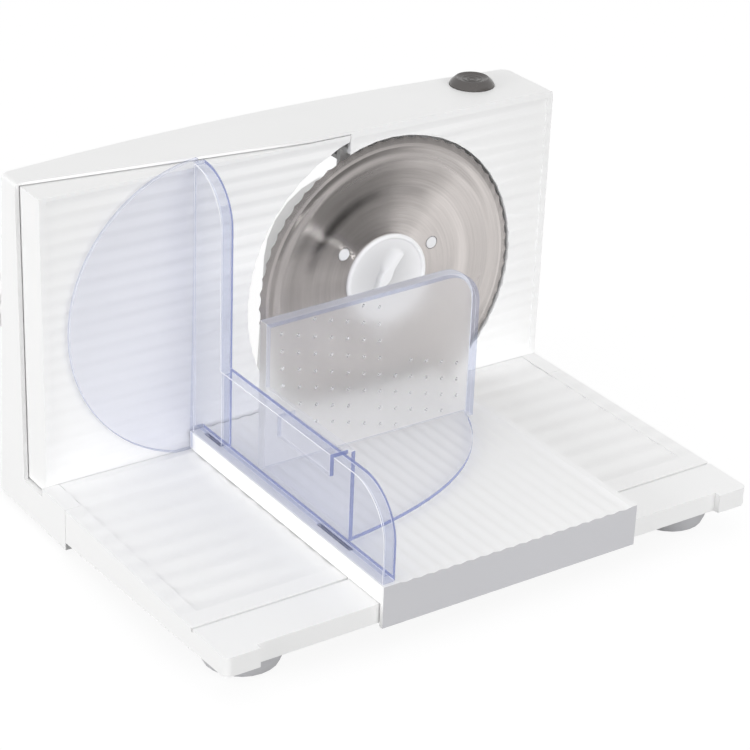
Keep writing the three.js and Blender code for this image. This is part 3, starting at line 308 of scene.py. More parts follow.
# %% Group: turned rings
def build_turned_rings():
    tree, given, out = start_group(
        "turned_rings",
        [("Axis X", FLOAT, 0.0), ("Axis Z", FLOAT, 0.0), ("Ring width", FLOAT, 0.0003)],
        [(name, FLOAT) for name in ("Radius", "Angle", "Across", "Up", "Rings", "Bands")],
    )
    place = split_place(tree, "place")
    across = minus(place["X"], given["Axis X"])
    up = minus(place["Z"], given["Axis Z"])
    radius = length_of(across, up)
    angle = math_node("ARCTAN2", up, across)
    join(across, out["Across"])
    join(up, out["Up"])
    join(radius, out["Radius"])
    join(angle, out["Angle"])
    steps = math_node("DIVIDE", radius, given["Ring width"])
    drift = 0.8  # how far a ring changes on its way round
    for label, share, socket in (("fine rings", 1.0, "Rings"), ("broad bands", 0.06, "Bands")):
        line = add_node(tree, "ShaderNodeCombineXYZ", label)
        join(times(steps, share), line.inputs["X"])
        for wave, axis in (("COSINE", "Y"), ("SINE", "Z")):
            round_way = math_node(wave, angle)
            join(times(round_way, drift), line.inputs[axis])
        join(add_noise(label, line.outputs[0], Scale=1.0, Detail=3.0), out[socket])
    return tree


turned_rings = build_turned_rings()
print("group:", turned_rings.name)

# %% [markdown]
# ## Flow in clear plastic
#
# Clear mouldings are never optically flat: the melt leaves soft waves, and hands leave faint dull
# patches. Slow noise gives the waves and a second noise makes the roughness uneven.

# %% Group: clear flow
def build_clear_flow():
    tree, given, out = start_group(
        "clear_flow",
        [("Base roughness", FLOAT, 0.03), ("Wave size", FLOAT, 0.02)],
        [("Roughness", FLOAT), ("Height", FLOAT)],
    )
    place = add_node(tree, "ShaderNodeTexCoord", "place").outputs["Object"]
    per_metre = math_node("DIVIDE", 1.0, given["Wave size"])
    waves = add_noise("melt waves", place, Scale=per_metre, Detail=1.0)
    join(waves, out["Height"])
    dull = add_noise("dull patches", place, Scale=45.0, Detail=4.0)
    more = spread(dull, 0.45, 0.75, 0.0, 0.05)
    join(math_node("ADD", given["Base roughness"], more), out["Roughness"])
    return tree


clear_flow = build_clear_flow()
print("group:", clear_flow.name)

# %% [markdown]
# ## The finishes
#
# Each finish is one Principled shader. Numbers that are the same all over sit on the shader's own
# sockets, and only what varies comes in from a group.

# %% Start a finish
def start_finish(name, plain):
    finish = bpy.data.materials.new(name)
    finish.use_nodes = True
    tree = finish.node_tree
    shader = tree.nodes["Principled BSDF"]
    for socket, value in plain.items():
        shader.inputs[socket].default_value = value
    return finish, tree, shader


def add_bump(tree, shader, height, strength, distance):
    amount = {"Strength": strength, "Distance": distance}
    bump = add_node(tree, "ShaderNodeBump", "bump", values=amount)
    join(height, bump.inputs["Height"])
    join(bump.outputs["Normal"], shader.inputs["Normal"])
    return bump


def grained_finish(name, plain, tone, roughness, grain):
    finish, tree, shader = start_finish(name, plain)
    given = {"Grain size": grain, "Base roughness": roughness, "Tone": (*tone, 1.0)}
    grains = place_group(tree, mould_grain, given)
    join(grains["Colour"], shader.inputs["Base Color"])
    join(grains["Roughness"], shader.inputs["Roughness"])
    return finish, tree, shader, grains["Height"]


def plastic_finish(name, tone, roughness, grain, strength, ribs=None):
    finish, tree, shader, height = grained_finish(name, {"IOR": 1.5}, tone, roughness, grain)
    bump = add_bump(tree, shader, height, strength, 0.0002)
    if ribs:
        amount = {"Strength": ribs["strength"], "Distance": 1.0}
        rib_bump = add_node(tree, "ShaderNodeBump", "ribs", values=amount)
        join(rib_height(tree, ribs), rib_bump.inputs["Height"])
        join(rib_bump.outputs["Normal"], bump.inputs["Normal"])
    return finish


def rib_height(tree, ribs):
    """Height of the ribs on the faces that point the way that ribs["faces"] says."""
    place = split_place(tree, "place")
    surface = add_node(tree, "ShaderNodeTexCoord", "surface")
    normals = add_node(tree, "ShaderNodeSeparateXYZ", "normal")
    join(surface.outputs["Normal"], normals.inputs[0])
    sign, axis = ribs["faces"]
    facing = times(normals.outputs[axis], sign)
    mask = spread(facing, 0.7, 0.9, 0.0, 1.0)
    if "clear_of" in ribs:
        x, z, radius = ribs["clear_of"]
        across = minus(place["X"], x)
        up = minus(place["Z"], z)
        away = spread(length_of(across, up), radius, radius + ribs["fade"], 0.0, 1.0)
        mask = times(mask, away)
    given = {name.capitalize(): ribs[name] for name in ("start", "end", "pitch", "depth")}
    node = add_node(tree, "ShaderNodeGroup", "ribs", {"node_tree": moulded_ribs}, given)
    join(place[ribs["along"]], node.inputs["Along"])
    join(mask, node.inputs["Facing"])
    return node.outputs["Height"]


white = (0.93, 0.93, 0.928)
white_plastic = (white, 0.38, 0.0005, 0.10)  # tone, roughness, size and strength of the grain
shell_white = plastic_finish("shell_white", *white_plastic)
gloss_white = plastic_finish("gloss_white", (0.82, 0.82, 0.835), 0.2, 0.0011, 0.03)
button_black = plastic_finish("button_black", (0.085, 0.078, 0.075), 0.24, 0.0006, 0.05)
foot_grey = plastic_finish("foot_grey", (0.58, 0.58, 0.6), 0.62, 0.0007, 0.25)
print("plastic finishes ready")

# %% [markdown]
# ## Ribbed white finishes
#
# The ribbed pieces are the same white plastic with the rib wave added. Start, end, pitch and depth
# are those of the solids, so the shading sits on the facets that are already there. The tray's
# front skirt gets a matt grey of its own: its white with painted shade, so that it is darker than
# the tray's top.

# %% Ribbed finishes
tray_low, tray_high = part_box("carriage_tray")
blade_low, blade_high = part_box("blade")
blade_x, blade_z = (blade_low.x + blade_high.x) / 2, (blade_low.z + blade_high.z) / 2
blade_radius = (blade_high.x - blade_low.x) / 2
pocket_radius = blade_radius + 0.0009
table_top = 0.028
cutting_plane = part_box("table")[1].y + 0.0005
face_count, tray_count, table_count = 20, 18, 9

face_ribs = {"along": "Z", "faces": (-1, "Y"), "pitch": 0.0081, "depth": 0.0008, "strength": 0.25}
face_ribs["start"] = table_top + 0.0048
face_ribs["end"] = face_ribs["start"] + face_count * face_ribs["pitch"]
housing_ribs = {**face_ribs, "clear_of": (blade_x, blade_z, pocket_radius), "fade": 0.004}
tray_ribs = {"along": "X", "faces": (1, "Z"), "depth": 0.0008, "strength": 0.36}
tray_ribs["start"], tray_ribs["end"] = tray_low.x + 0.0101, tray_high.x - 0.004
tray_ribs["pitch"] = (tray_ribs["end"] - tray_ribs["start"]) / tray_count
table_ribs = {"along": "Y", "faces": (1, "Z"), "pitch": -0.016, "depth": 0.0007, "strength": 0.45}
table_ribs["start"] = cutting_plane - 0.0058
table_ribs["end"] = table_ribs["start"] + table_count * table_ribs["pitch"]

housing_white = plastic_finish("housing_white", *white_plastic, housing_ribs)
plate_white = plastic_finish("plate_white", *white_plastic, face_ribs)
tray_white = plastic_finish("tray_white", *white_plastic, tray_ribs)
table_white = plastic_finish("table_white", *white_plastic, table_ribs)
# The skirt's white is darkened by painted shade, so its tone is grey.
skirt_painted_shade = plastic_finish("skirt_painted_shade", (0.65, 0.65, 0.675), 0.55, 0.0004, 0.3)
print("tray ribs every", round(tray_ribs["pitch"] * 1000, 2), "mm")

# %% [markdown]
# ## Metals
#
# The blade is stainless steel, turned on a lathe. The tool leaves fine grooves whose flanks lean
# outwards, so each part of the disc mirrors another side of the room: that makes the light and dark
# sectors that turned discs show. The lean is added to the normal, and anisotropy spreads the
# highlights across the grooves. The cutting bevel is ground later, across the edge, so it gets
# fine radial marks instead of rings. Its outer part is painted darker, a painted dark reflection
# under coarse scratches.

# %% Flanks of the grooves
bevel_start = blade_radius - 0.006
# The outer part of the bevel has coarse scratches and a painted dark reflection.
edge_start = blade_radius - 0.0042  # the outer part of the bevel, ground last and coarsest
groove_lean = 0.3
groove_twist = 0.52  # radians between the lean and the straight way outwards
step_ring = blade_radius - 0.0115  # middle of the flat ring just inside the bevel
bright_ring = 0.054  # middle of a ring that is polished finer


def leaning_normal(tree, across, up, lean):
    """Normal of groove flanks that lean away from the blade's axle."""
    outward = add_node(tree, "ShaderNodeCombineXYZ", "outward")
    aside, along = math.sin(groove_twist), math.cos(groove_twist)
    across_part = times(across, along)
    join(math_node("MULTIPLY_ADD", up, aside, across_part), outward.inputs["X"])
    up_part = times(up, along)
    join(math_node("MULTIPLY_ADD", across, -aside, up_part), outward.inputs["Z"])
    unit = add_node(tree, "ShaderNodeVectorMath", "unit length", {"operation": "NORMALIZE"})
    join(outward.outputs[0], unit.inputs[0])
    turned = add_node(tree, "ShaderNodeVectorTransform", "with the blade")
    turned.vector_type, turned.convert_from, turned.convert_to = "VECTOR", "OBJECT", "WORLD"
    join(unit.outputs[0], turned.inputs[0])
    straight = add_node(tree, "ShaderNodeNewGeometry", "surface")
    total = add_node(tree, "ShaderNodeVectorMath", "leaning", {"operation": "ADD"})
    join(straight.outputs["Normal"], total.inputs[0])
    join(scale_vector("lean", turned.outputs[0], lean), total.inputs[1])
    unit_normal = add_node(tree, "ShaderNodeVectorMath", "unit normal", {"operation": "NORMALIZE"})
    join(total.outputs[0], unit_normal.inputs[0])
    return unit_normal.outputs[0]


print("bevel from", round(bevel_start * 1000, 1), "mm")

# %% [markdown]
# ## Tones of the blade
#
# Rings and bands mix two steel tones over the disc. The bevel shows the marks of the grinding wheel
# instead. The outermost edge has a hatch of coarse scratches, and its whole tone is darkened as a
# painted dark reflection. One ring is polished finer, and a flat ring just inside the bevel hardly
# leans, so both mirror the room in another way than the rest.

# %% Blade finish
steel_dark, steel_light = (0.57, 0.533, 0.515), (0.74, 0.695, 0.676)
bevel_marks, edge_marks = 90.0, 130.0  # grinding marks in one radian
# The edge's hatch: coarse scratches, all of them darker as a painted dark reflection.
hatch_and_reflection_dark, hatch_and_reflection_light = 0.55, 0.92  # shares of the steel's tone
fine_polish, coarse_polish = 0.21, 0.28  # roughness


def marks_around(rings, label, count, values):
    place = times(rings["Angle"], count)
    line = {"noise_dimensions": "1D"}
    marks = add_node(place.id_data, "ShaderNodeTexNoise", label, line, values)
    join(place, marks.inputs["W"])
    return marks.outputs["Fac"]


def past_radius(rings, start, blur):
    return spread(rings["Radius"], start - blur, start + blur, 0.0, 1.0)


def off_middle(rings, middle):
    return math_node("ABSOLUTE", minus(rings["Radius"], middle))


def steel_tone(rings, on_bevel):
    share = times(rings["Rings"], 0.4)
    share = math_node("ADD", share, times(rings["Bands"], 0.6))
    marks = marks_around(rings, "grinding marks", bevel_marks, {"Detail": 2.0})
    pattern = mix_numbers("rings or marks", on_bevel, share, marks)
    lighter = spread(pattern, 0.35, 0.65, 0.0, 1.0)
    tones = mix_tones("steel tones", lighter, steel_dark, steel_light)
    scratches = marks_around(rings, "coarse scratches", edge_marks, {})
    # Coarse scratches, with a painted dark reflection over the whole outer edge.
    hatch = spread(scratches, 0.4, 0.6, hatch_and_reflection_dark, hatch_and_reflection_light)
    on_edge = past_radius(rings, edge_start, 0.0003)
    shade = mix_numbers("edge or disc", on_edge, 1.0, hatch)
    return scale_vector("scratches and painted dark reflection", tones, shade)


def blade_finish():
    plain = {"Metallic": 1.0, "Anisotropic": 1.0, "Anisotropic Rotation": 0.25}
    finish, tree, shader = start_finish("blade_steel", plain)
    given = {"Axis X": blade_x, "Axis Z": blade_z, "Ring width": 0.0005}
    rings = place_group(tree, turned_rings, given)
    on_bevel = past_radius(rings, bevel_start, 0.0002)
    join(steel_tone(rings, on_bevel), shader.inputs["Base Color"])
    dull = spread(off_middle(rings, bright_ring), 0.001, 0.006, 0.5, 1.0)
    rough = spread(rings["Bands"], 0.3, 0.7, fine_polish, coarse_polish)
    join(times(rough, dull), shader.inputs["Roughness"])
    about = {"direction_type": "RADIAL", "axis": "Y"}
    around = add_node(tree, "ShaderNodeTangent", "around the axis", about)
    join(around.outputs["Tangent"], shader.inputs["Tangent"])
    lean = spread(rings["Bands"], 0.3, 0.7, groove_lean - 0.03, groove_lean + 0.03)
    flat = spread(off_middle(rings, step_ring), 0.001, 0.0035, 0.15, 1.0)
    lean = times(lean, flat)
    lean = times(lean, minus(1.0, on_bevel))
    normal = leaning_normal(tree, rings["Across"], rings["Up"], lean)
    join(normal, shader.inputs["Normal"])
    return finish


blade_steel = blade_finish()
print("blade radius:", round(blade_radius, 4))

# %% [markdown]
# ## Small metal pieces
#
# Screws, pins, rods and the motor's can are turned or plated. They share one finish, whose grain is
# set for each metal.

# %% Small metal finishes
def metal_finish(name, tone, roughness, grain):
    metal = {"Metallic": 1.0}
    finish, tree, shader, height = grained_finish(name, metal, tone, roughness, grain)
    add_bump(tree, shader, height, 0.08, 0.0001)
    return finish


turned_steel = metal_finish("turned_steel", (0.6, 0.6, 0.61), 0.3, 0.0004)
zinc_plate = metal_finish("zinc_plate", (0.55, 0.57, 0.6), 0.42, 0.0012)
bronze = metal_finish("bronze", (0.62, 0.44, 0.19), 0.34, 0.0005)
print("metal finishes ready")

# %% [markdown]
# ## Clear plastic
#
# The guard and the pusher are clear mouldings with a slight blue tint. A thin wall hardly bends
# light, so the walls are tinted sheets that mirror the studio more at flat angles. Where one looks
# into an edge, light comes a long way through the plastic, so the edges get a deeper blue.

# %% Sheets and edges
acrylic = 1.49  # index of refraction
sheet_wave, sheet_bump = 0.03, 0.15


def flow_finish(name, plain, roughness, wave_size, strength):
    finish, tree, shader = start_finish(name, plain)
    flow = place_group(tree, clear_flow, {"Base roughness": roughness, "Wave size": wave_size})
    join(flow["Roughness"], shader.inputs["Roughness"])
    add_bump(tree, shader, flow["Height"], strength, 0.0004)
    return finish, tree, shader


def clear_layer(tree, label, tint):
    return add_node(tree, "ShaderNodeBsdfTransparent", label, values={"Color": (*tint, 1.0)})


def sheet_finish(name, tint, tone, roughness, facing, grazing):
    plain = {"IOR": acrylic, "Base Color": (*tone, 1.0)}
    finish, tree, shader = flow_finish(name, plain, roughness, sheet_wave, sheet_bump)
    through = clear_layer(tree, "seen through", tint)
    angle = add_node(tree, "ShaderNodeLayerWeight", "view angle", values={"Blend": 0.3})
    share = spread(angle.outputs["Facing"], 0.0, 1.0, facing, grazing)
    show_mix(tree, "sheet", share, through, shader)
    return finish


sheets = {  # tint, surface tone, roughness, opacity seen straight on and at flat angles
    "clear_sheet": ((0.968, 0.97, 0.985), (0.78, 0.8, 0.88), 0.05, 0.02, 0.12),
    "clear_wall": ((0.925, 0.93, 0.955), (0.74, 0.77, 0.88), 0.05, 0.02, 0.1),
    "clear_floor": ((0.992, 0.992, 0.997), (0.8, 0.82, 0.88), 0.05, 0.015, 0.08),
    "clear_rim": ((0.86, 0.875, 0.935), (0.7, 0.74, 0.87), 0.06, 0.05, 0.25),
    "clear_edge": ((0.52, 0.56, 0.77), (0.27, 0.31, 0.54), 0.08, 0.4, 0.75),
}
clear_sheet, clear_wall, clear_floor, clear_rim, clear_edge = [
    sheet_finish(name, *numbers) for name, numbers in sheets.items()
]
print("clear sheets ready")

# %% [markdown]
# ## Beads along the clear edges
#
# A moulded edge is never sharp. Its tiny round is drawn by the bevel, and its tone is painted light
# and shade: where the round faces the bright left side it shows a painted white highlight, and
# everywhere else the sheet's deep blue, darkened as painted shade. So the bead's tone and its
# opacity follow the way that the round faces.

# %% Bead finish
# The bead's tone is a painted highlight and painted shade, set by how far the round faces the
# light.
barely_lit, fully_lit = 0.15, 0.65  # cosines between the round's normal and the light
shade_opacity, highlight_opacity = 0.65, 0.85


def painted_light_finish(name, deep, highlight_tone, toward):
    finish, tree, shader = start_finish(name, {"IOR": acrylic, "Roughness": 0.12})
    surface = add_node(tree, "ShaderNodeTexCoord", "surface").outputs["Normal"]
    lit = dot_product("towards the light", surface, toward)
    mask = spread(lit, barely_lit, fully_lit, 0.0, 1.0)
    # The deep tone is the painted shade and the other tone the painted highlight.
    tone = mix_tones("painted highlight and shade", mask, deep, highlight_tone)
    join(tone, shader.inputs["Base Color"])
    through = clear_layer(tree, "seen through", (1.0, 1.0, 1.0))
    opacity = spread(mask, 0.0, 1.0, shade_opacity, highlight_opacity)
    show_mix(tree, "bead", opacity, through, shader)
    return finish


# Painted highlight on the side of each round towards bead_light, painted shade on the other side.
bead_light, stud_light = (-0.85, -0.25, 0.45), (-0.7, 0.3, 0.5)
bead_painted_highlight = painted_light_finish("bead_painted_highlight", (0.2, 0.235, 0.47), (0.97, 0.97, 1.0), bead_light)
# The studs get a painted highlight on the side towards stud_light and painted shade on the other.
stud_painted_highlight = painted_light_finish("stud_painted_highlight", (0.5, 0.51, 0.54), (1.0, 1.0, 1.0), stud_light)
print("bead finish ready")

# %% [markdown]
# ## Frosted plate
#
# The pusher's plate is sand-blasted on the food side, so that food doesn't slip on it. It lets
# light through but blurs what is behind, which is what a rough transmitting shader does. The other
# side is smoother, so the studs still show. Lamps reach through because shadow rays see a plain
# sheet.

# %% Frosted finish
blast_wave, blast_bump = 0.006, 0.2


def frosted_finish(name, tint, roughness, clarity):
    plain = {"IOR": 1.3, "Transmission Weight": clarity, "Base Color": (*tint, 1.0)}
    finish, tree, shader = flow_finish(name, plain, roughness, blast_wave, blast_bump)
    sheet = clear_layer(tree, "lamps pass", tint)
    path = add_node(tree, "ShaderNodeLightPath", "ray kind")
    show_mix(tree, "lamps or eyes", path.outputs["Is Shadow Ray"], shader, sheet)
    return finish


plate_tint = (0.98, 0.98, 0.986)
frosted = frosted_finish("frosted", plate_tint, 0.42, 0.88)
satin_clear = frosted_finish("satin_clear", plate_tint, 0.1, 0.97)
print("frosted finish ready")

# %% [markdown]
# ## Dress the solids
#
# The solids come as loose triangles. Modifiers make them presentable without touching their own
# points: they weld the triangles, merge flat ones into whole faces, round the hard edges a little,
# keep the shading apart at corners, and weigh the normals by area so that flat faces stay flat.

# %% Give each solid its finish
finishes = {
    shell_white: ["rear_cover", "thickness_dial"],
    housing_white: ["housing_shell"],
    plate_white: ["stop_plate"],
    tray_white: ["carriage_tray"],
    table_white: ["table"],
    gloss_white: ["blade_knob", "blade_carrier", "drive_gear", "cam_sleeve"],
    foot_grey: ["front_foot_left", "front_foot_right", "rear_foot_left", "rear_foot_right"],
    button_black: ["power_button", "cord_inlet", "micro_switch", "motor_end_cap"],
    blade_steel: ["blade"],
    turned_steel: [
        "hinge_pin_left", "hinge_pin_right", "spindle_axle", "motor_rotor", "button_spring",
        "cam_pin", "guide_rod_upper", "guide_rod_lower", "motor_screw_1", "motor_screw_2",
        "bracket_screw_1", "bracket_screw_2",
    ],
    zinc_plate: ["motor_can", "motor_bracket", *(f"cover_screw_{i}" for i in range(1, 5))],
    bronze: ["spindle_bush", "worm"],
    clear_sheet: ["carriage_guard"],
}

edge_round = {
    "housing_shell": 0.0009, "rear_cover": 0.0005, "table": 0.0009, "stop_plate": 0.0006,
    "carriage_tray": 0.0006, "thickness_dial": 0.0005, "carriage_guard": 0.0008,
}
weld_gap = 2e-6
flat_angle, corner_angle = math.radians(0.5), math.radians(35)


def soften(solid, width):
    mesh = solid.data
    own_normals = mesh.attributes.get("custom_normal")
    if own_normals:
        mesh.attributes.remove(own_normals)
    for face in mesh.polygons:
        face.use_smooth = True
    weld = solid.modifiers.new("weld", "WELD")
    weld.merge_threshold = weld_gap
    if width > 0:
        merge = solid.modifiers.new("merge_flat", "DECIMATE")
        merge.decimate_type = "DISSOLVE"
        merge.delimit = {"MATERIAL"}
        merge.angle_limit = flat_angle
        bevel = solid.modifiers.new("round_edges", "BEVEL")
        bevel.width = width
        bevel.segments = 2
        bevel.limit_method = "ANGLE"
        bevel.angle_limit = corner_angle
        bevel.use_clamp_overlap = True
        bevel.miter_outer = "MITER_ARC"
    split = solid.modifiers.new("keep_corners", "EDGE_SPLIT")
    split.split_angle = corner_angle
    weigh = solid.modifiers.new("even_normals", "WEIGHTED_NORMAL")
    weigh.keep_sharp = True


for finish, names in finishes.items():
    for name in names:
        solids[name].data.materials.clear()
        solids[name].data.materials.append(finish)
        soften(solids[name], edge_round.get(name, 0))

# Faces of the tray's front skirt get the finish with painted shade.
skirt_back = tray_low.y + 0.001
tray = solids["carriage_tray"].data
tray.materials.append(skirt_painted_shade)
for face in tray.polygons:
    if face.normal.y < -0.9 and face.center.y < skirt_back:
        face.material_index = 1
print("dressed:", sum(len(names) for names in finishes.values()), "of", len(solids))

# %% [markdown]
# ## Edges of the clear pieces
#
# The clear pieces use several finishes at once. Each face is sorted by the way it points and by
# where it lies: wide faces stay clear, the rim's band is a little bluer, and faces as narrow as
# the wall is thick are edges.

# %% Sort the clear faces
def sort_faces(piece, looks, bead, rule):
    """Gives each face the finish that the rule picks, and each rounded edge the bead."""
    mesh = piece.data
    for look in (*looks, bead):
        mesh.materials.append(look)
    slots = list(mesh.materials)
    counts = {look.name: 0 for look in slots}
    for face in mesh.polygons:
        look = rule(face.normal, face.center)
        face.material_index = slots.index(look)
        counts[look.name] += 1
    piece.modifiers["round_edges"].material = slots.index(bead)
    print(piece.name, "faces by finish:", counts)


guard_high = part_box("carriage_guard")[1]
rim_width = 0.0076
wall_thickness = 0.0025
hair = 0.0002  # slack for comparing places


def guard_rule(normal, centre):
    on_rim_side = centre.x > guard_high.x - rim_width + wall_thickness + hair
    in_moon = centre.x < guard_high.x - rim_width - hair
    if normal.z < -0.5 and not in_moon:
        return clear_sheet
    if on_rim_side:
        return clear_edge if abs(normal.x) > 0.9 else clear_rim
    if in_moon and abs(normal.y) < 0.5:
        return clear_rim
    if abs(normal.x) > 0.9 and not in_moon:
        return clear_wall
    return clear_rim if abs(normal.x) < 0.5 and not in_moon else clear_sheet


guard_looks = [clear_rim, clear_edge, clear_wall]
sort_faces(solids["carriage_guard"], guard_looks, bead_painted_highlight, guard_rule)

# %% [markdown]
# ## The pusher
#
# The pusher is one clear moulding: a studded plate, a side plate, a saddle and a floor that ends in
# a full round. It is dressed as a copy of its solid, because the round is drawn fuller here than in
# the solid: each point of the floor's edge goes to the same share of a curve with a further bend.
# The copy also gets a bead along its sharp edges, apart from those of the studs.

# %% Shape the pusher's floor
pusher_low, pusher_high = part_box("pusher")
plate_left = guard_high.x + 0.0006
stud_height = 0.0016
plate_back = pusher_high.y - stud_height
plate_front = plate_back - wall_thickness
floor_top = pusher_low.z + wall_thickness
floor_back = plate_back - wall_thickness / 2
floor_width = pusher_high.x - plate_left
floor_reach = 0.088
floor_steps = 16
solid_bend, drawn_bend = (0.73, 0.66), (0.8, 0.85)  # shares of the floor's width and reach
edge_slack = 2e-5  # a point this close to the solid's edge lies on it
nearly_flat = 0.005  # radians
bead_width = 0.0006


def add_piece(name, mesh, finish=None):
    if finish:
        mesh.materials.append(finish)
    piece = bpy.data.objects.new(name, mesh)
    scene.collection.objects.link(piece)
    return piece


def floor_curve(share, bend_shares):
    bend_x, bend_y = bend_shares
    right = Vector((pusher_high.x - wall_thickness, floor_back))
    bend = Vector((plate_left + bend_x * floor_width, floor_back - bend_y * floor_reach))
    left = Vector((plate_left, floor_back - floor_reach))
    return (1 - share) ** 2 * right + 2 * share * (1 - share) * bend + share ** 2 * left


solid_edge = [floor_curve(i / floor_steps, solid_bend) for i in range(floor_steps + 1)]


def fuller_place(spot):
    for step in range(floor_steps):
        first, second = solid_edge[step], solid_edge[step + 1]
        share = (spot - first).dot(second - first) / (second - first).length_squared
        if 0 <= share <= 1 and (first.lerp(second, share) - spot).length < edge_slack:
            return floor_curve((step + share) / floor_steps, drawn_bend)
    return spot


def shape_pusher():
    shape = bmesh.new()
    shape.from_mesh(solids["pusher"].data)
    bmesh.ops.remove_doubles(shape, verts=shape.verts, dist=weld_gap)
    for point in shape.verts:
        if point.co.z < floor_top and point.co.y < plate_front - hair:
            point.co.x, point.co.y = fuller_place(Vector((point.co.x, point.co.y)))
    shape.normal_update()
    studded = plate_back - hair
    flat = [e for e in shape.edges if e.is_manifold and e.calc_face_angle() < nearly_flat]
    flat = [e for e in flat if min(v.co.y for v in e.verts) < studded]
    bmesh.ops.dissolve_edges(shape, edges=flat, use_verts=False)
    weights = shape.edges.layers.float.new("bevel_weight_edge")
    for edge in shape.edges:
        depths = [face.calc_center_median().y for face in edge.link_faces]
        on_stud = any(depth > plate_back + hair for depth in depths)
        sharp = edge.is_manifold and edge.calc_face_angle() > corner_angle
        edge[weights] = 1.0 if sharp and not on_stud else 0.0
    mesh = bpy.data.meshes.new("pusher_clear")
    shape.to_mesh(mesh)
    shape.free()
    piece = add_piece("pusher_clear", mesh, clear_sheet)
    soften(piece, bead_width)
    piece.modifiers.remove(piece.modifiers["merge_flat"])
    piece.modifiers["round_edges"].limit_method = "WEIGHT"
    return piece


pusher_clear = shape_pusher()
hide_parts("pusher")
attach(pusher_clear, "pusher")
print("pusher faces:", len(pusher_clear.data.polygons))

# %% [markdown]
# ## Finishes of the pusher
#
# The rule asks from the rare to the common: first the studs, then the frosted plate and its border,
# then the edges, and what is left is floor or plain sheet.

# %% Sort the pusher's faces
border = 0.0045  # faces this close in front of the plate belong to its border


def pusher_rule(normal, centre):
    # The studs get the finish with painted highlight and shade.
    if centre.y > plate_back + hair:
        return stud_painted_highlight
    side_plate_end = plate_left + wall_thickness
    in_plate = centre.y > plate_front - hair and centre.x > side_plate_end
    if in_plate and abs(normal.y) > 0.2:
        return frosted if normal.y > 0 else satin_clear
    if centre.y > plate_front - border:
        return clear_rim if centre.x > plate_left else clear_sheet
    if abs(normal.y) > 0.7 and centre.x < side_plate_end:
        saddle_end = centre.x < plate_left - hair and normal.y > 0
        return clear_rim if saddle_end else clear_edge
    if centre.z < floor_top and abs(normal.z) < 0.5:
        return clear_edge
    if plate_left - hair < centre.x < side_plate_end and abs(normal.z) > 0.7:
        return clear_edge
    on_floor = centre.z < floor_top + hair
    return clear_floor if on_floor or abs(normal.x) > 0.9 else clear_sheet


pusher_looks = [satin_clear, clear_rim, clear_edge, clear_floor, frosted, stud_painted_highlight]
sort_faces(pusher_clear, pusher_looks, bead_painted_highlight, pusher_rule)

# %% [markdown]
# ## The blade's knob
#
# The knob is a glossy moulded bowl with a thin rim. A grip bent like an S crosses it: on one side
# it drops like a step, on the other it runs out softly into the bowl, and a half turn gives the
# same shape again. The solid shows this with flat facets. Here the same bowl is drawn as a fine
# polar grid whose depth comes from a formula, which gives soft slopes that facets can't.

# %% Shape of the bowl and the grip
knob_low, knob_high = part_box("blade_knob")
knob_radius = (knob_high.x - knob_low.x) / 2
knob_front, knob_stem = knob_low.y, knob_high.y
knob_back = knob_front + 0.0026
stem_radius = 0.019
bowl_radius = knob_radius - 0.0024
bowl_depth = 0.0042
bowl_curve = 1.7
rim_drop, rim_run = 0.001, 0.0006  # height and width of the steep wall just inside the rim
bowl_start = 0.0002  # the bowl begins this far behind the front of the rim
grip_tilt = math.radians(53)
grip_rise = 0.88  # share of the bowl's depth that the grip fills
grip_half = 0.0033  # half the grip's width at the middle
steep_run = 0.0012  # width of the step beside the grip
grip_bend = 0.008  # the grip takes on its S within this distance from the middle
tip_start, tip_end = 0.0165, 0.0192  # the grip runs out between these radii


def smooth_step(low, high, value):
    share = min(max((value - low) / (high - low), 0.0), 1.0)
    return share * share * (3 - 2 * share)


def grip_share(x, z):
    """1 on top of the grip and 0 in the bowl, for a spot at x and z from the axis."""
    along = x * math.cos(grip_tilt) + z * math.sin(grip_tilt)
    aside = z * math.cos(grip_tilt) - x * math.sin(grip_tilt)
    if along < 0:
        along, aside = -along, -aside
    out = smooth_step(0.0, grip_bend, along)
    step_edge = 0.002 * out - grip_half
    slope_start = grip_half - 0.0027 * out
    slope_width = steep_run + 0.0075 * out
    step = smooth_step(step_edge - steep_run, step_edge, aside)
    slope = 1 - smooth_step(slope_start, slope_start + slope_width, aside)
    tip = 1 - smooth_step(tip_start, tip_end, math.hypot(along, aside))
    return step * slope * tip


def bowl_place(radius, x, z):
    wall = rim_drop * (1 - smooth_step(bowl_radius - rim_run, bowl_radius, radius))
    deep = wall + (bowl_depth - rim_drop) * (1 - (radius / bowl_radius) ** bowl_curve)
    return knob_front + bowl_start + deep * (1 - grip_rise * grip_share(x, z))


flange_left = knob_back - bowl_place(stem_radius, -stem_radius, 0)
print("knob radius:", round(knob_radius, 4), "flange left behind the bowl:", round(flange_left, 5))

# %% [markdown]
# ## Finish of the knob
#
# The knob is gloss white. Deep in the bowl, where little light gets in, its tone is darkened as
# painted shade. A deeper bowl would give real shade, but it would break through the flange, so the
# painted shade follows the depth.

# %% Knob finish
# Share of the white that is left at the bottom of the bowl, under the painted shade.
bowl_shade = 0.73


def knob_finish():
    finish = plastic_finish("knob_white", (0.9, 0.9, 0.91), 0.2, 0.0011, 0.03)
    tree = finish.node_tree
    shader = tree.nodes["Principled BSDF"]
    tone = shader.inputs["Base Color"].links[0].from_socket
    place = split_place(tree, "place on the knob")
    shade_start, shade_end = knob_front + 0.0004, knob_front + bowl_depth
    # Painted shade: darker the deeper the spot lies in the bowl.
    shade = spread(place["Y"], shade_start, shade_end, 1.0, bowl_shade)
    painted_shade_tone = scale_vector("painted shade, deeper is darker", tone, shade)
    join(painted_shade_tone, shader.inputs["Base Color"])
    return finish


knob_white = knob_finish()
print("knob finish ready")

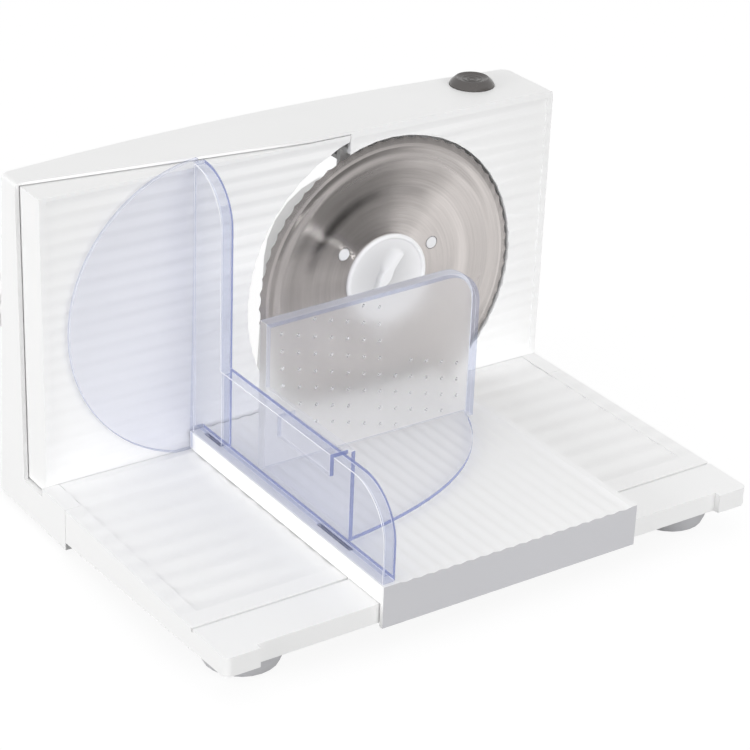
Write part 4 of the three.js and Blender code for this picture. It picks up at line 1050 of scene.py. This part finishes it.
# %% [markdown]
# ## Mesh of the knob
#
# Rings of points lie about the axis: first those of the bowl, then the rim, the back and the stem.
# Faces join each ring to the next, and a fan of triangles closes each end.

# %% Build the knob
rim = [  # place on the rim: radius beyond the knob's radius, depth behind its front
    (-0.0019, 0.00002), (-0.0012, 0.0), (-0.0006, 0.0002), (-0.00015, 0.0006), (0.0, 0.0012),
]


def spin_faces(rows, columns, first):
    """Four-sided faces between neighbouring rings of points."""
    faces = []
    for start in range(first, first + (rows - 1) * columns, columns):
        after = start + columns
        for i in range(columns):
            j = (i + 1) % columns
            faces.append((start + i, after + i, after + j, start + j))
    return faces


def add_smooth(name, points, faces, finish):
    mesh = bpy.data.meshes.new(name)
    mesh.from_pydata(points, [], faces)
    for face in mesh.polygons:
        face.use_smooth = True
    return add_piece(name, mesh, finish)


def build_knob(columns=240, bowl_rows=72):
    rows = [(bowl_radius * (i + 1) / bowl_rows, None) for i in range(bowl_rows)]
    rows += [(knob_radius + beyond, knob_front + depth) for beyond, depth in rim]
    rows += [(knob_radius, knob_back - 0.0003), (knob_radius - 0.0004, knob_back)]
    rows += [(stem_radius, knob_back), (stem_radius, knob_stem)]
    points = [(blade_x, bowl_place(0, 0, 0), blade_z)]
    for radius, place in rows:
        for i in range(columns):
            angle = 2 * math.pi * i / columns
            x, z = radius * math.cos(angle), radius * math.sin(angle)
            depth = bowl_place(radius, x, z) if place is None else place
            points.append((blade_x + x, depth, blade_z + z))
    faces = [(0, 1 + i, 1 + (i + 1) % columns) for i in range(columns)]
    faces += spin_faces(len(rows), columns, 1)
    points.append((blade_x, knob_stem, blade_z))
    last = 1 + (len(rows) - 1) * columns
    faces += [(last + i, len(points) - 1, last + (i + 1) % columns) for i in range(columns)]
    return add_smooth("knob_bowl", points, faces, knob_white)


knob_bowl = build_knob()
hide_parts("blade_knob")
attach(knob_bowl, "knob")
print("knob faces:", len(knob_bowl.data.polygons))

# %% [markdown]
# ## The power button
#
# The button is a glossy black cap. Its shoulder slopes in to a thin rim, and inside the rim lies a
# shallow dish with two fine rings. A profile spun about the button's axis gives all of this in one
# go, down to the flange and the stem that stay inside the housing.

# %% Build the button
button_low, button_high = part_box("power_button")
button_x, button_y = (button_low.x + button_high.x) / 2, (button_low.y + button_high.y) / 2
crown = button_high.z
cap_radius, flange_radius, peg_radius = 0.0132, 0.0152, 0.004
flange_top = crown - 0.0073
flange_foot = flange_top - 0.0023
cap_corner = math.radians(50)
shoulder = [  # inset from the cap's side, drop below the crown
    (0.0, 0.0042), (0.0, 0.0038), (0.0003, 0.0032), (0.0009, 0.0024), (0.0018, 0.0015),
    (0.0027, 0.0007), (0.0033, 0.0002),
]
dish = [  # radius, drop below the crown
    (0.0094, 0.0), (0.0089, 0.0002), (0.0078, 0.0009), (0.0066, 0.0012), (0.0057, 0.00125),
    (0.0053, 0.0009), (0.0049, 0.0013), (0.0036, 0.00135), (0.0029, 0.0014), (0.0025, 0.001),
    (0.0021, 0.00145), (0.0008, 0.0015),
]


def build_button(columns=96):
    profile = [(peg_radius, button_low.z), (peg_radius, flange_foot)]
    profile += [(flange_radius, flange_foot), (flange_radius, flange_top)]
    profile += [(cap_radius, flange_top)]
    profile += [(cap_radius - inset, crown - drop) for inset, drop in shoulder]
    profile += [(radius, crown - drop) for radius, drop in dish]
    points = []
    for radius, height in profile:
        for i in range(columns):
            angle = 2 * math.pi * i / columns
            x, y = radius * math.cos(angle), radius * math.sin(angle)
            points.append((button_x + x, button_y + y, height))
    spun = spin_faces(len(profile), columns, 0)
    faces = [(a, d, c, b) for a, b, c, d in spun]  # turned over, since this profile runs upwards
    faces.append(tuple(reversed(range(columns))))
    last = (len(profile) - 1) * columns
    faces.append(tuple(last + i for i in range(columns)))
    cap = add_smooth("button_cap", points, faces, button_black)
    split = cap.modifiers.new("keep_corners", "EDGE_SPLIT")
    split.split_angle = cap_corner
    return cap


button_cap = build_button()
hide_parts("power_button")
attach(button_cap, "button")
print("button faces:", len(button_cap.data.polygons))

# %% [markdown]
# ## The button's spring
#
# The spring stands on a shelf in the housing and carries the button, so it gets shorter when the
# button goes down. Here a copy of its solid stands in its place, with smooth shading.

# %% Copy the spring
button_coil = add_piece("button_coil", solids["button_spring"].data.copy())
soften(button_coil, 0)
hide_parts("button_spring")
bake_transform(button_coil)

# %% [markdown]
# ## The studio floor
#
# The photograph is a bright product shot on white. The floor glows white to the camera, and a
# little matt paint under the glow takes a faint shadow. In mirrors the floor gets darker towards
# the front, and rays that only carry light on see a dark floor, so little is lit from below.

# %% Floor
floor_side = 6.0
floor_glow, front_glow = 0.9, 0.35
front_fade = (-0.34, -0.15)  # the mirrored floor gets lighter from the first Y to the second
matt_tone, bounce_tone = 0.12, 0.04


def ray_kinds(tree):
    """Masks of the camera's own rays, and of rays that were mirrored or came through glass."""
    kinds = add_node(tree, "ShaderNodeLightPath", "ray kind").outputs
    glass = math_node("MAXIMUM", kinds["Is Glossy Ray"], kinds["Is Transmission Ray"])
    return kinds["Is Camera Ray"], glass


def matt_shader(tree, label, tone):
    colour = {"Color": (tone, tone, tone, 1.0)}
    return add_node(tree, "ShaderNodeBsdfDiffuse", label, values=colour)


def floor_paint():
    paint = bpy.data.materials.new("studio_white")
    paint.use_nodes = True
    tree = paint.node_tree
    tree.nodes.remove(tree.nodes["Principled BSDF"])
    camera_ray, glass_ray = ray_kinds(tree)
    place = split_place(tree, "place on the floor")
    near = spread(place["Y"], *front_fade, front_glow, floor_glow)
    glow = add_node(tree, "ShaderNodeEmission", "white ground")
    join(mix_numbers("glow", camera_ray, near, floor_glow), glow.inputs["Strength"])
    both = add_node(tree, "ShaderNodeAddShader", "white with shadow")
    join(matt_shader(tree, "matt white", matt_tone).outputs[0], both.inputs[0])
    join(glow.outputs[0], both.inputs[1])
    bounce = matt_shader(tree, "bounce", bounce_tone)
    seen = math_node("MAXIMUM", camera_ray, glass_ray)
    show_mix(tree, "seen or bounce", seen, bounce, both)
    return paint


def build_floor():
    mesh = bpy.data.meshes.new("studio_floor")
    ends = (-floor_side, floor_side)
    corners = [(ends[i], ends[j], 0) for i, j in ((0, 0), (1, 0), (1, 1), (0, 1))]
    mesh.from_pydata(corners, [], [(0, 1, 2, 3)])
    floor = add_piece("studio_floor", mesh, floor_paint())


build_floor()
print("floor ready")

# %% [markdown]
# ## The room and its lamps
#
# Soft light comes from all round, a little more of it from the left and from the front. What
# mirrors show is brighter than that, apart from a dark side at the front right, which gives the
# steel its dark sectors. The two large lamps aren't seen in mirrors, and the small one is seen only
# there.

# %% World and lamps
room_light = 0.76
dark_side = Vector((0.45, -0.89, 0.08))
dark_edge = (0.79, 0.93)  # cosines to the dark side between which the mirrored room gets dark
lamp_aim = Vector((0, 0, 0.1))


def build_world():
    world = bpy.data.worlds.new("studio_world")
    world.use_nodes = True
    tree = world.node_tree
    ground = tree.nodes["Background"]
    ground.inputs["Color"].default_value = (1, 1, 1, 1)
    camera_ray, glass_ray = ray_kinds(tree)
    direction = add_node(tree, "ShaderNodeTexCoord", "direction").outputs["Generated"]
    toward = dot_product("towards the dark side", direction, dark_side)
    mirrored = spread(toward, *dark_edge, 1.0, 0.0)
    light = mix_numbers("mirrored or lit", glass_ray, room_light, mirrored)
    strength = mix_numbers("white when seen", camera_ray, light, 1.0)
    join(strength, ground.inputs["Strength"])
    scene.world = world


def add_lamp(name, place, size, power, only_mirrored=False):
    data = bpy.data.lights.new(name, "AREA")
    data.shape = "RECTANGLE"
    data.size, data.size_y = size
    data.energy = power
    data.diffuse_factor = 0.0 if only_mirrored else 1.0
    lamp = bpy.data.objects.new(name, data)
    lamp.location = place
    lamp.rotation_mode = "QUATERNION"
    lamp.rotation_quaternion = (lamp_aim - Vector(place)).to_track_quat("-Z", "Y")
    lamp.visible_glossy = lamp.visible_transmission = only_mirrored
    scene.collection.objects.link(lamp)


build_world()
add_lamp("left_softbox", (-1.9, -0.1, 0.24), (1.0, 1.0), 26)
add_lamp("front_softbox", (0.4, -2.0, 0.62), (1.6, 1.2), 20)
add_lamp("spark", (0.33, -1.67, 0.5), (0.03, 0.03), 0.4, only_mirrored=True)
scene.view_settings.view_transform = "Standard"
scene.cycles.transparent_max_bounces = 32  # many clear sheets lie behind one another
print("studio ready")
